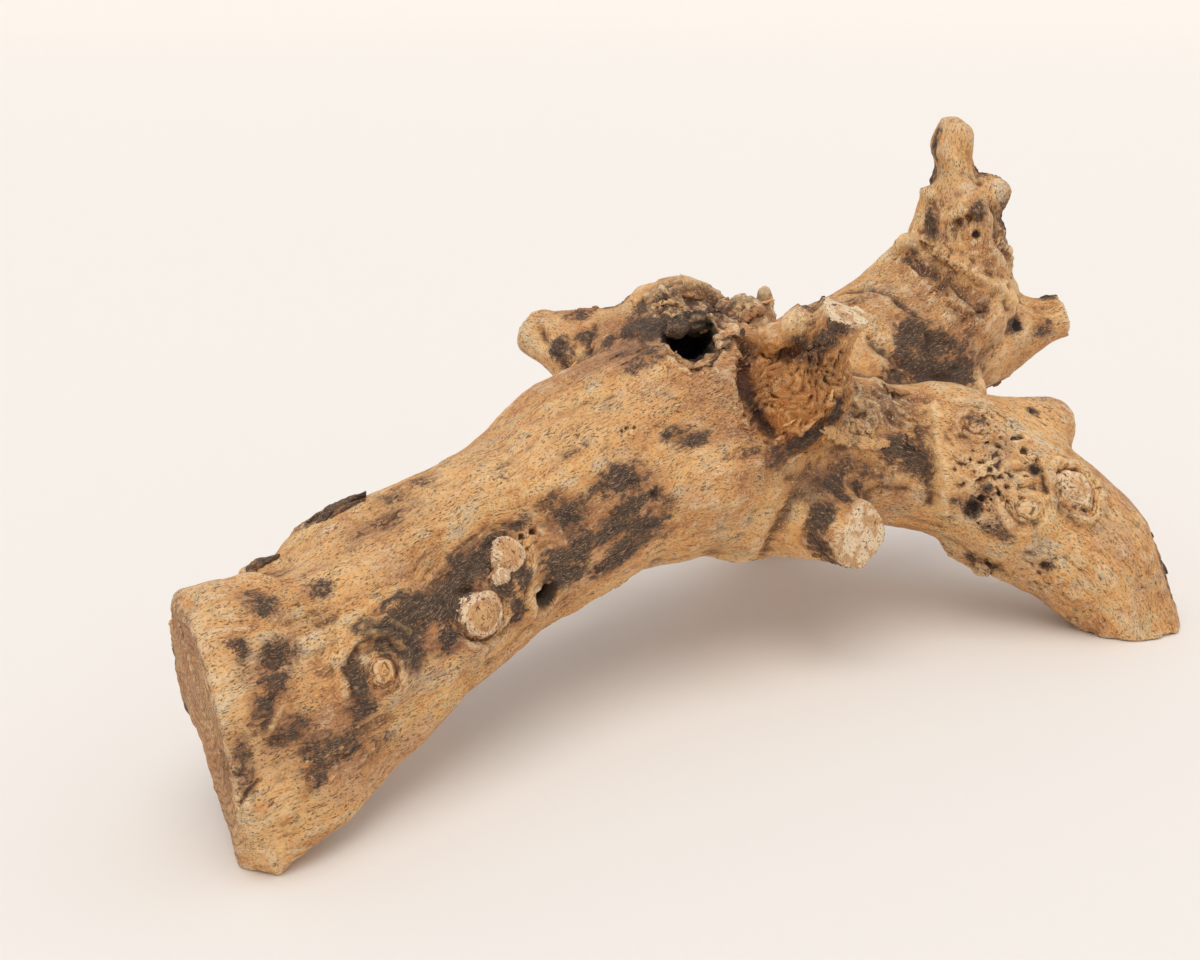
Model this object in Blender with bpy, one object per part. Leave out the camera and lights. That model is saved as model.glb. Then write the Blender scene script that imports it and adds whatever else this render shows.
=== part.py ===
# A mulberry root: one solid piece of dry, bark-stripped wood with a sawn trunk,
# a knotted junction, sawn side stubs, an upright prong and three resting points.
#
# The trunk runs along +X. Every place, radius and depth in the tables is in millimetres;
# the mesh itself is in metres.

import math

import bmesh
import bpy
import numpy as np
from mathutils import Vector, noise

MM = 0.001
NODE_NAME = "mulberry_root"
WOOD_COLOUR = (0.47, 0.28, 0.13, 1)
SHARP_ANGLE = 48

# Mesh sizes
LIMB_VOXEL = 2.4 * MM
FINE_VOXEL = 1.9 * MM
LIMB_ROUNDING = 7
EDGE_ROUNDING = 2
TRIANGLES = 11300

# Surface relief
LUMP_WAVE, LUMP_HEIGHT = 40, 5
RIDGE_WAVE, RIDGE_HEIGHT, RIDGE_STRETCH = 17, 3, 0.16
CRUST_WAVE, CRUST_HEIGHT = 14, 12

# Limbs, grown together and rounded: each row is x, y, z, radius
LIMBS = {
    "trunk": [
        (-270, -46, 58, 27), (-224, -31, 58, 29), (-185, -16, 55, 31), (-157, -5, 59, 34), (-92, 17, 71, 36),
        (-44, 29, 84, 42), (0, 36, 92, 48), (40, 38, 90, 42),
    ],
    "trunk_flank": [
        (-262, -55, 46, 19), (-218, -41, 46, 22), (-170, -22, 50, 26), (-116, 2, 62, 27),
    ],
    "trunk_lower_flank": [
        (-262, -60, 34, 17), (-218, -46, 32, 20), (-170, -26, 38, 21), (-120, -2, 52, 22),
    ],
    "trunk_keel": [
        (-262, -70, 4, 10), (-218, -56, 6, 10), (-196, -46, 16, 13), (-150, -22, 34, 16), (-90, 6, 58, 22),
    ],
    "trunk_shoulder": [
        (-262, -36, 73, 17), (-222, -26, 73, 18), (-190, -12, 64, 16), (-155, 4, 79, 19),
        (-110, 16, 81, 21), (-60, 26, 96, 24),
    ],
    "upper_left_stub": [
        (4, 54, 110, 36), (-10, 76, 117, 24), (-18, 96, 121, 15), (-22, 108, 122, 11), (-25, 128, 122, 10),
    ],
    "crown_lump": [(-6, 48, 118, 28), (12, 60, 136, 20), (22, 68, 146, 13)],
    "crust_lump": [(34, 34, 112, 26), (38, 44, 132, 16), (41, 47, 142, 9)],
    "horn_burl": [(30, 30, 96, 30), (31, 6, 108, 23), (32, -2, 112, 20)],
    "horn": [
        (36, 12, 98, 24), (38, 0, 119, 20), (41, -5, 133, 13.5), (43, -13, 146, 10.8), (46, -24, 160, 10),
    ],
    "front_bulge": [(24, 24, 74, 36), (44, 10, 66, 30), (46, -2, 62, 22)],
    "front_stub": [(46, 6, 63, 19), (47, -12, 61, 16), (48, -20, 61, 14.5), (49, -44, 61, 14)],
    "right_leg": [
        (40, 34, 86, 38), (72, 24, 80, 31), (100, 14, 72, 29), (126, 4, 65, 31), (151, -13, 50, 33),
        (172, -32, 28, 28), (184, -44, 4, 22), (190, -50, -16, 20),
    ],
    "leg_collar": [(108, 22, 76, 24), (116, 4, 78, 27), (120, -10, 60, 24)],
    "right_knob": [(136, 2, 76, 22), (152, -2, 83, 15), (166, -5, 86, 14), (177, -6, 86, 11)],
    "castle": [
        (50, 46, 92, 36), (84, 52, 104, 31), (114, 55, 112, 27), (146, 57, 116, 29), (170, 58, 126, 26),
    ],
    "castle_web": [(90, 40, 84, 30), (128, 42, 88, 26), (152, 40, 92, 21), (160, 38, 92, 17)],
    "castle_belly": [(140, 52, 106, 26), (160, 52, 104, 20), (176, 50, 108, 17)],
    "tower": [(168, 60, 122, 26), (170, 64, 145, 22), (169, 66, 162, 19), (168, 68, 178, 15)],
    "castle_side_stub": [
        (172, 58, 112, 24), (188, 51, 111, 18), (202, 45, 114, 13), (214, 40, 118, 10), (230, 34, 121, 9),
    ],
    "back_leg": [
        (44, 56, 86, 34), (68, 82, 74, 25), (90, 100, 50, 20), (101, 118, 26, 17), (112, 132, 6, 17),
        (116, 137, -12, 17),
    ],
    "back_leg_knee": [(80, 92, 54, 18), (96, 98, 58, 14)],
}

# Small spurs and knobs, added on the rounded limbs and left sharper
SPURS = {
    "prong": [(169, 70, 166, 12), (168, 71, 184, 9), (167, 71, 200, 8.5), (167, 71, 207, 6.5)],
    "castle_shoulder": [(98, 60, 120, 15), (128, 63, 134, 13), (148, 66, 146, 12)],
    "tower_spur": [(160, 70, 166, 9), (155, 74, 176, 5.5), (153, 75, 181, 3.5)],
    "tower_knob": [(172, 63, 168, 9), (179, 59, 176, 6.5), (182, 58, 180, 5)],
    "tower_upper_bump": [(174, 60, 154, 11), (182, 56, 160, 6.5)],
    "tower_lower_bump": [(176, 58, 136, 13), (186, 52, 142, 8)],
    "crown_knob": [(16, 66, 132, 15), (25, 72, 144, 9), (27, 73, 149, 6)],
    "crown_ledge": [(6, 70, 128, 14), (12, 76, 139, 8)],
    "crust_block": [(36, 46, 126, 13), (39, 48, 139, 9)],
    "crust_knob": [(43, 44, 134, 7), (46, 43, 144, 4.5), (46, 43, 147, 3.5)],
    "crust_corner": [(30, 46, 122, 11), (33, 52, 136, 7)],
    "leg_bump": [(126, -6, 40, 14), (127, -14, 29, 7.5), (127, -15, 26, 5)],
    "leg_lower_bump": [(148, -22, 34, 16), (147, -30, 21, 8)],
    "back_leg_stub": [(96, 98, 56, 11), (106, 94, 62, 7.5), (113, 91, 66, 6.5)],
    "trunk_top_bump": [(-158, 2, 84, 14), (-156, 8, 96, 6)],
    "trunk_end_bump": [(-204, -22, 80, 11), (-202, -21, 89, 5)],
}

# Limbs whose centre lines the grain follows
GRAIN_LIMBS = [
    "trunk", "upper_left_stub", "horn", "front_stub", "right_leg", "castle", "tower", "castle_side_stub",
    "back_leg",
]

# Cross-section of a limb: lobes as (count, height, phase)
LOBES = [(2, 0.05, 0.6), (3, 0.05, 2.1), (5, 0.03, 0.3)]
PROFILE_POINTS = 28

# Crusty, cracked zones: x, y, z, radius, strength
CRUSTS = [
    (18, 62, 140, 28, 1.0), (38, 44, 136, 24, 1.0), (34, 0, 112, 24, 0.5), (170, 62, 160, 34, 0.8),
    (150, 56, 118, 38, 0.8), (118, 52, 122, 28, 0.7), (60, 20, 100, 24, 0.4), (150, -10, 40, 40, 0.6),
    (110, 4, 80, 26, 0.4),
]

# Knots: x, y, z, radius, then the heights of the plug, the groove round it and the swelling round both
KNOTS = {
    "healed": (-171, -48, 59, 9, 0.8, 2.2, 3.2),
    "sawn": (-124, -33, 64, 8.5, 3.6, 2.2, 2.4),
    "torn": (-107, -19, 79, 6.5, 2.6, 1.6, 2.0),
    "leg_ringed": (129, -36, 64, 8, 1.4, 2.2, 3.0),
    "leg_sawn": (149, -40, 66, 7.5, 5.0, 2.0, 3.0),
    "back_leg_healed": (110, 116, 34, 7, 0.8, 1.6, 2.2),
    "trunk_back_healed": (-120, 42, 76, 10, 0.5, 2.0, 2.8),
}

# Hollows: the mouth's place and radius, then the inner end's
HOLLOWS = {
    "junction_cavity": ((-5, 19, 138, 10), (8, 44, 128, 7.5)),
    "knot_hole": ((-90, -24, 58, 5.5), (-94, -8, 62, 3.5)),
}

# Crevices, dug along the surface: rows as for the limbs
CREVICES = {
    "burl_edge": [
        (26, 16, 136, 2), (13, 6, 128, 3.5), (9, -4, 114, 3.5), (16, -12, 101, 3), (30, -15, 92, 1.5),
    ],
    "horn_back": [(58, 12, 122, 1.5), (58, 2, 114, 3), (52, -6, 100, 3), (44, -14, 92, 1.5)],
    "castle_fold": [(137, 62, 149, 2), (142, 47, 142, 3), (148, 34, 127, 3.5), (158, 27, 111, 2.5)],
    "castle_cleft": [(68, 18, 116, 2.5), (92, 18, 110, 4), (118, 20, 105, 4.5), (150, 22, 99, 4)],
}

# Worn cuts, rounded afterwards: place, outward normal, half width
WORN_CUTS = {
    "trunk_end": ((-228, -30, 60), (-0.99, 0.07, -0.10), 90),
    "trunk_end_top_edge": ((-225.5, -28, 90.5), (-0.71, 0, 0.71), 40),
    "trunk_tip_facet": ((-216, -61, 4), (-0.68, -0.60, -0.42), 34),
}

# Crisp saw cuts: place, outward normal, half width
SAW_CUTS = {
    "front_stub_face": ((48, -28, 62), (0.22, -0.96, 0.1), 30),
    "horn_end": ((44, -15, 150), (0.15, -0.45, 0.88), 22),
    "upper_left_stub_end": ((-23, 116, 118), (-0.25, 0.96, 0.05), 30),
    "side_stub_end": ((214, 40, 120), (0.92, -0.3, 0.2), 22),
    "floor": ((0, 0, 0), (0, 0, -1), 400),
}


def clear_scene():
    for obj in list(bpy.data.objects):
        bpy.data.objects.remove(obj)


def make_profile():
    # A unit outline, 1 mm in radius, that each limb's point radius scales
    curve = bpy.data.curves.new("limb_profile", "CURVE")
    curve.dimensions = "2D"
    spline = curve.splines.new("POLY")
    spline.points.add(PROFILE_POINTS - 1)
    for i, point in enumerate(spline.points):
        angle = 2 * math.pi * i / PROFILE_POINTS
        radius = MM * (1 + sum(height * math.cos(count * angle + phase) for count, height, phase in LOBES))
        point.co = (radius * math.cos(angle), radius * math.sin(angle), 0, 1)
    spline.use_cyclic_u = True
    return bpy.data.objects.new("limb_profile", curve)


def make_limb(name, rows, profile):
    curve = bpy.data.curves.new(name, "CURVE")
    curve.dimensions = "3D"
    curve.bevel_mode = "OBJECT"
    curve.bevel_object = profile
    curve.use_fill_caps = True
    curve.resolution_u = 8
    spline = curve.splines.new("BEZIER")
    spline.radius_interpolation = "CARDINAL"
    spline.bezier_points.add(len(rows) - 1)
    for point, (x, y, z, radius) in zip(spline.bezier_points, rows):
        point.co = (x * MM, y * MM, z * MM)
        point.radius = radius
        point.handle_left_type = "AUTO"
        point.handle_right_type = "AUTO"
    return bpy.data.objects.new(name, curve)


def evaluated_mesh(obj):
    bpy.context.view_layer.update()
    graph = bpy.context.evaluated_depsgraph_get()
    return bpy.data.meshes.new_from_object(obj.evaluated_get(graph))


def apply_modifiers(obj):
    mesh = evaluated_mesh(obj)
    obj.modifiers.clear()
    obj.data = mesh


def shells_of(limbs, base=None):
    # The limbs, and the base mesh if there is one, as overlapping closed shells in one mesh
    scene = bpy.context.scene.collection
    profile = make_profile()
    scene.objects.link(profile)
    shells = bmesh.new()
    for name, rows in limbs.items():
        limb = make_limb(name, rows, profile)
        scene.objects.link(limb)
        shells.from_mesh(evaluated_mesh(limb))
        bpy.data.objects.remove(limb)
    bpy.data.objects.remove(profile)
    bmesh.ops.remove_doubles(shells, verts=shells.verts, dist=1e-6)
    bmesh.ops.recalc_face_normals(shells, faces=shells.faces)
    if base:
        shells.from_mesh(base)
    mesh = bpy.data.meshes.new(NODE_NAME)
    shells.to_mesh(mesh)
    shells.free()
    return mesh


def merge_and_round(obj, voxel, passes):
    remesh = obj.modifiers.new("grow_together", "REMESH")
    remesh.mode = "VOXEL"
    remesh.voxel_size = voxel
    smooth = obj.modifiers.new("round_over", "SMOOTH")
    smooth.factor = 0.5
    smooth.iterations = passes
    apply_modifiers(obj)


def vertex_arrays(mesh):
    # Places in millimetres and unit normals
    places = np.empty(len(mesh.vertices) * 3)
    mesh.vertices.foreach_get("co", places)
    normals = np.empty(len(mesh.vertices) * 3)
    mesh.vertex_normals.foreach_get("vector", normals)
    return places.reshape(-1, 3) / MM, normals.reshape(-1, 3)


def grain_frame(places):
    # For each vertex, the offset from the nearest limb's centre line and the run along that limb
    nearest = np.full(len(places), np.inf)
    offset = np.zeros_like(places)
    run = np.zeros(len(places))
    for number, name in enumerate(GRAIN_LIMBS):
        rows = np.array(LIMBS[name], float)
        steps = np.linalg.norm(np.diff(rows[:, :3], axis=0), axis=1)
        at = np.concatenate([[0], np.cumsum(steps)])
        samples = np.linspace(0, at[-1], max(4, int(at[-1] / 5)))
        line = np.stack([np.interp(samples, at, rows[:, k]) for k in range(4)], axis=1)
        for s, (x, y, z, radius) in zip(samples, line):
            away = places - (x, y, z)
            reach = np.linalg.norm(away, axis=1) / radius
            closer = reach < nearest
            nearest[closer] = reach[closer]
            offset[closer] = away[closer]
            run[closer] = s + 300 * number
    return offset, run


def noise_at(points):
    return np.array([noise.noise(Vector(p)) for p in points])


def add_relief(obj):
    # Broad lumps all over, ridges along the grain, and broken crust in the crusty zones
    mesh = obj.data
    places, normals = vertex_arrays(mesh)
    offset, run = grain_frame(places)
    along = offset / RIDGE_WAVE
    along[:, 2] += run * RIDGE_STRETCH / RIDGE_WAVE
    height = LUMP_HEIGHT * noise_at(places / LUMP_WAVE)
    height += RIDGE_HEIGHT * (0.4 - 1.6 * np.abs(noise_at(along)))
    crust = np.zeros(len(places))
    for x, y, z, radius, strength in CRUSTS:
        reach = np.linalg.norm(places - (x, y, z), axis=1) / radius
        crust = np.maximum(crust, strength * np.clip(1.6 - 1.6 * reach, 0, 1))
    rough = 0.65 * noise_at(places / CRUST_WAVE) + 0.35 * noise_at(places / CRUST_WAVE * 2.1 + 7)
    height += CRUST_HEIGHT * crust * rough
    for knot in KNOTS.values():
        height += knot_height(places, normals, knot)
    moved = (places + normals * height[:, None]) * MM
    mesh.vertices.foreach_set("co", moved.ravel())
    mesh.update()


def knot_height(places, normals, knot):
    x, y, z, radius, plug, groove, swelling = knot
    away = np.linalg.norm(places - (x, y, z), axis=1)
    facing = normals[np.argmin(away)]
    reach = away / radius
    bump = plug / (1 + (reach / 0.75) ** 8)
    bump -= groove * np.exp(-(((reach - 0.95) / 0.2) ** 2))
    bump += swelling * np.exp(-(((reach - 1.35) / 0.4) ** 2))
    return np.where(normals @ facing > 0, bump, 0)


def make_slab(name, place, normal, half_width):
    # A block standing on the cut's plane, on the side that is taken away
    outward = Vector(normal).normalized()
    block = bmesh.new()
    bmesh.ops.create_cube(block, size=2 * half_width * MM)
    turn = outward.to_track_quat("Z", "Y").to_matrix().to_4x4()
    bmesh.ops.transform(block, matrix=turn, verts=block.verts)
    centre = (Vector(place) + outward * half_width) * MM
    bmesh.ops.translate(block, vec=centre, verts=block.verts)
    mesh = bpy.data.meshes.new(name)
    block.to_mesh(mesh)
    block.free()
    return bpy.data.objects.new(name, mesh)


def take_away(obj, cutter):
    bpy.context.scene.collection.objects.link(cutter)
    cutter.hide_render = True
    cutter.display_type = "WIRE"
    cut = obj.modifiers.new("take_away", "BOOLEAN")
    cut.operation = "DIFFERENCE"
    cut.solver = "EXACT"
    cut.object = cutter
    obj.modifiers.new("split_faces", "TRIANGULATE")
    apply_modifiers(obj)
    bpy.data.objects.remove(cutter)


def make_hollow(name, ends):
    # A tapered plug with rounded ends
    plug = bmesh.new()
    for x, y, z, radius in ends:
        ball = bmesh.new()
        bmesh.ops.create_icosphere(ball, subdivisions=3, radius=radius * MM)
        for vertex in ball.verts:
            plug.verts.new(vertex.co + Vector((x, y, z)) * MM)
        ball.free()
    bmesh.ops.convex_hull(plug, input=plug.verts)
    inner = [vertex for vertex in plug.verts if not vertex.link_faces]
    bmesh.ops.delete(plug, geom=inner, context="VERTS")
    bmesh.ops.recalc_face_normals(plug, faces=plug.faces)
    mesh = bpy.data.meshes.new(name)
    plug.to_mesh(mesh)
    plug.free()
    return bpy.data.objects.new(name, mesh)


def finish(obj):
    wood = bpy.data.materials.new("mulberry_wood")
    wood.use_nodes = True
    shader = wood.node_tree.nodes["Principled BSDF"]
    shader.inputs["Base Color"].default_value = WOOD_COLOUR
    shader.inputs["Roughness"].default_value = 0.75
    obj.data.materials.clear()
    obj.data.materials.append(wood)
    obj.data.shade_smooth()
    obj.data.set_sharp_from_angle(angle=math.radians(SHARP_ANGLE))


def centre_on_floor(obj):
    # Puts the middle of the underside of its box at the origin
    places, _ = vertex_arrays(obj.data)
    low, high = places.min(axis=0) * MM, places.max(axis=0) * MM
    shift = Vector((-(low[0] + high[0]) / 2, -(low[1] + high[1]) / 2, -low[2]))
    for vertex in obj.data.vertices:
        vertex.co += shift
    obj.data.update()
    return shift


def main():
    clear_scene()
    root = bpy.data.objects.new(NODE_NAME, shells_of(LIMBS))
    bpy.context.scene.collection.objects.link(root)
    merge_and_round(root, LIMB_VOXEL, LIMB_ROUNDING)
    root.data = shells_of(SPURS, root.data)
    merge_and_round(root, FINE_VOXEL, EDGE_ROUNDING)
    add_relief(root)
    for name, (place, normal, half_width) in WORN_CUTS.items():
        take_away(root, make_slab(name, place, normal, half_width))
    for name, ends in HOLLOWS.items():
        take_away(root, make_hollow(name, ends))
    for name, rows in CREVICES.items():
        take_away(root, bpy.data.objects.new(name, shells_of({name: rows})))
    merge_and_round(root, FINE_VOXEL, EDGE_ROUNDING)
    thin = root.modifiers.new("facets", "DECIMATE")
    thin.ratio = TRIANGLES / (2 * len(root.data.vertices))
    thin.use_collapse_triangulate = True
    apply_modifiers(root)
    for name, (place, normal, half_width) in SAW_CUTS.items():
        take_away(root, make_slab(name, place, normal, half_width))
    finish(root)
    return centre_on_floor(root)


# How far the finished root was moved to stand centred on the origin, in metres
CENTRE_SHIFT = main()
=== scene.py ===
# A dry, bark-stripped mulberry root on a pale studio floor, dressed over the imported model
import math
import time

import bmesh
import bpy
import numpy as np
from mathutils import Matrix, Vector
from mathutils.bvhtree import BVHTree


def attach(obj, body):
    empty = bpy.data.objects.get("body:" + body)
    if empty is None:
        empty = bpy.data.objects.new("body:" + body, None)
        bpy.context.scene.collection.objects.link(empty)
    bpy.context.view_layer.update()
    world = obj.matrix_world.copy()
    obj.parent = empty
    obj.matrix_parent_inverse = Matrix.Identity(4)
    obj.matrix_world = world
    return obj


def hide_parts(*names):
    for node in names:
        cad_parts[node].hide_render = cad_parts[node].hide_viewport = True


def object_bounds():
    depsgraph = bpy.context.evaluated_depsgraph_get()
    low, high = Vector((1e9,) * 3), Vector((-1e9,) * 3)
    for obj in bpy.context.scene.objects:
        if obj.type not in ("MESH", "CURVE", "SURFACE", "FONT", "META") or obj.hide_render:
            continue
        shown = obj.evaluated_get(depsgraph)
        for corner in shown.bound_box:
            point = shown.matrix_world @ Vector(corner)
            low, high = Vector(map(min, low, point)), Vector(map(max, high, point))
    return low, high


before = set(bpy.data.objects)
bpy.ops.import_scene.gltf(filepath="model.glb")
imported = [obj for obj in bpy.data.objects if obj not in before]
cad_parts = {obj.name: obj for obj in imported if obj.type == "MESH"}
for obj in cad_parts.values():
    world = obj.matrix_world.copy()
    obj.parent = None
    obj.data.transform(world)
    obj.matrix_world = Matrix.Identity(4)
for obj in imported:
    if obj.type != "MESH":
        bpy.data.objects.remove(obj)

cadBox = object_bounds()
started = time.time()
mm = 0.001
standShift = np.array((6.764, -41.799, 0.0))   # tables are in mm, before the root was centred on the floor


def report(words):
    print(f"[{time.time() - started:6.1f} s] {words}")


def addObject(name, mesh):
    made = bpy.data.objects.new(name, mesh)
    bpy.context.scene.collection.objects.link(made)
    return made


def hexColour(text):
    # sRGB hex to Blender's linear colour
    parts = [int(text[i:i + 2], 16) / 255 for i in (1, 3, 5)]
    return tuple(c / 12.92 if c <= 0.04045 else ((c + 0.055) / 1.055) ** 2.4 for c in parts) + (1.0,)


def addNode(tree, kind, inputs=None, **settings):
    node = tree.nodes.new(kind)
    for name, value in settings.items():
        setattr(node, name, value)
    for key, value in (inputs or {}).items():
        if isinstance(value, bpy.types.NodeSocket):
            tree.links.new(value, node.inputs[key])
        else:
            node.inputs[key].default_value = value
    return node


# Smooth random fields for the wood's relief

def lumpNoise(points, seed):
    # One bump to a unit, about -1 to 1
    cell = np.floor(points).astype(np.int64)
    part = points - cell
    ease = part * part * part * (part * (part * 6 - 15) + 10)
    total = np.zeros(len(points))
    for corner in range(8):
        step = np.array((corner & 1, corner >> 1 & 1, corner >> 2 & 1))
        key = (cell + step) @ np.array((73856093, 19349663, 83492791)) + seed * 1299709
        key = (key ^ (key >> 13)) * 1274126177 & 0xFFFFFFFF
        key = (key ^ (key >> 15)) * 668265263 & 0xFFFFFFFF
        away = part - step
        slope = ((key >> 2) & 1023) / 511.5 - 1, ((key >> 12) & 1023) / 511.5 - 1, ((key >> 22) & 1023) / 511.5 - 1
        weight = np.prod(np.where(step == 1, ease, 1 - ease), axis=1)
        total += weight * (slope[0] * away[:, 0] + slope[1] * away[:, 1] + slope[2] * away[:, 2])
    return total * 1.5


def cellGaps(points, seed):
    # Distances to the nearest and second nearest of randomly strewn points, one to a unit cube
    cell = np.floor(points).astype(np.int64)
    first = np.full(len(points), 9.0)
    second = np.full(len(points), 9.0)
    for i in range(27):
        near = cell + np.array((i % 3 - 1, i // 3 % 3 - 1, i // 9 - 1))
        key = near @ np.array((73856093, 19349663, 83492791)) + seed * 1299709
        key = (key ^ (key >> 13)) * 1274126177 & 0xFFFFFFFF
        key = (key ^ (key >> 15)) * 668265263 & 0xFFFFFFFF
        spot = np.stack([(key >> k & 1023) / 1023 for k in (2, 12, 22)], axis=1)
        gap = np.linalg.norm(near + spot - points, axis=1)
        second = np.minimum(second, np.maximum(gap, first))
        first = np.minimum(first, gap)
    return first, second


def easeBetween(low, high, values):
    part = np.clip((values - low) / (high - low), 0, 1)
    return part * part * (3 - 2 * part)


# The centre lines that the fibres follow: x, y, z, limb radius
fibreLines = {
    "trunk": [[
        (-270, -46, 58, 45), (-224, -31, 58, 45), (-185, -16, 58, 42), (-157, -5, 62, 42), (-92, 17, 71, 42),
        (-44, 29, 84, 45), (0, 36, 90, 48), (40, 34, 88, 42), (72, 24, 80, 33), (100, 14, 72, 29),
        (126, 4, 65, 31), (151, -13, 50, 33), (172, -32, 28, 28), (184, -44, 4, 22), (190, -50, -16, 20),
    ]],
    "tower": [[
        (30, 46, 92, 36), (84, 52, 104, 31), (114, 55, 112, 27), (146, 57, 118, 28), (162, 60, 132, 26),
        (169, 64, 148, 22), (169, 67, 166, 17), (168, 70, 184, 10), (167, 71, 212, 8),
    ]],
    "stub": [
        [(4, 54, 110, 32), (-10, 76, 117, 24), (-18, 96, 121, 15), (-22, 108, 122, 11), (-25, 128, 122, 10)],
        [(34, 16, 92, 24), (38, 0, 119, 20), (41, -5, 133, 13.5), (43, -13, 146, 10.8), (46, -24, 160, 10)],
        [(44, 22, 66, 20), (46, 6, 63, 19), (47, -12, 61, 16), (48, -20, 61, 14.5), (49, -44, 61, 14)],
        [(166, 60, 110, 20), (188, 51, 111, 18), (202, 45, 114, 13), (214, 40, 118, 10), (230, 34, 121, 9)],
        [(44, 56, 86, 30), (68, 82, 74, 25), (90, 100, 50, 20), (101, 118, 26, 17), (112, 132, 6, 17),
         (116, 137, -12, 17)],
    ],
}

# knots: place, radius, then in mm the height of the plug, the depth of the groove round it, the height of the
# lip outside that and of the growth rings; the fibres part round them
knots = {
    "healed": ((-168, -47, 57), 5.2, 0.6, 0.8, 0.3, 0.2),
    "sawn": ((-124, -33, 64), 11.0, 2.4, 1.8, 0.9, 0.1),
    "torn": ((-107, -20, 79), 8.6, 1.5, 1.3, 0.4, 0.0),
    "tornPatch": ((-113, -24, 72), 4.6, 0.8, 0.8, 0.2, 0.0),
    "legRinged": ((127, -38, 61), 4.8, 0.6, 0.8, 0.3, 0.1),
    "legSawn": ((150, -40, 66), 9.5, 0.5, 2.6, 1.9, 0.0),
    "legOval": ((112, -18, 95), 5.0, 0.3, 0.5, 0.5, 0.3),
    "backLeg": ((110, 116, 34), 7.0, 0.3, 0.9, 0.8, 0.4),
    "trunkBack": ((-120, 42, 76), 10.0, 0.3, 1.1, 0.9, 0.5),
    "hole": ((-90, -21, 58), 6.5, -1.0, 0.0, 1.1, 0.3),
    "frontStub": ((47, -8, 62), 15, 0, 0, 0, 0),
}

# sawn faces: a place on the plane, its outward normal, the radius that it covers
sawnFaces = {
    "frontStub": ((48, -28, 62), (0.22, -0.96, 0.1), 19),
    "horn": ((44, -15, 150), (0.15, -0.45, 0.88), 15),
    "upperLeftStub": ((-23, 116, 118), (-0.25, 0.96, 0.05), 18),
    "sideStub": ((214, 40, 120), (0.92, -0.3, 0.2), 15),
}

# zones with their own surface: place, radius
burlWood = [((30, -6, 116), 25), ((24, 6, 126), 15), ((38, -8, 106), 15)]
crustWood = [
    ((4, 46, 146), 14), ((30, 42, 142), 17), ((44, 43, 142), 12), ((12, 28, 141), 9), ((24, 66, 140), 18),
    ((180, 55, 150), 13), ((64, 6, 102), 14), ((84, 8, 98), 12),
]
gnarledWood = [((166, 58, 158), 26), ((178, 52, 146), 22), ((150, 50, 128), 22), ((176, 44, 128), 18),
               ((96, 50, 110), 20)]
wormyWood = [
    ((117, -25, 76), 16), ((126, -27, 82), 13), ((114, -26, 60), 9), ((150, -26, 36), 20), ((90, 0, 70), 10),
    ((174, -34, 20), 24), ((122, -16, 92), 12),
]
wornPits = [   # small dark holes: place, radius, depth
    ((-93, -13, 82), 1.7, 3.0), ((-97, -15, 80), 1.2, 2.0), ((-99, -14, 82), 1.2, 1.6), ((32, -6, 138), 2.2, 3.5),
    ((157, 51, 165), 2.6, 3.5), ((160, 47, 167), 2.8, 4.0), ((164, 46, 160), 2.0, 2.5), ((0, 45, 148), 2.6, 3.0),
    ((12, 45, 147), 1.8, 3.0), ((-6, 43, 145), 2.0, 2.5), ((134, -33, 76), 2.4, 2.5), ((109, -24, 61), 2.8, 2.8),
    ((112, -25, 64), 2.0, 2.2), ((107, -23, 58), 1.8, 2.0), ((118, -28, 66), 1.8, 2.0), ((152, -10, 93), 1.4, 1.6),
    ((-42, -14, 89), 1.6, 1.6), ((159, 31, 130), 4.2, 4.0), ((108, -17, 94), 1.8, 1.8), ((-48, 0, 111), 0.9, 1.4),
    ((-46, 0, 112), 1.0, 1.4), ((-43, -1, 112), 0.9, 1.4), ((137, -40, 34), 2.2, 1.8), ((124, -18, 31), 2.6, 1.8),
    ((114, -27, 77), 1.4, 1.6), ((110, -26, 72), 1.5, 1.6), ((118, -29, 74), 1.3, 1.6), ((182, 36, 118), 3.4, 2.4),
]

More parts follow.
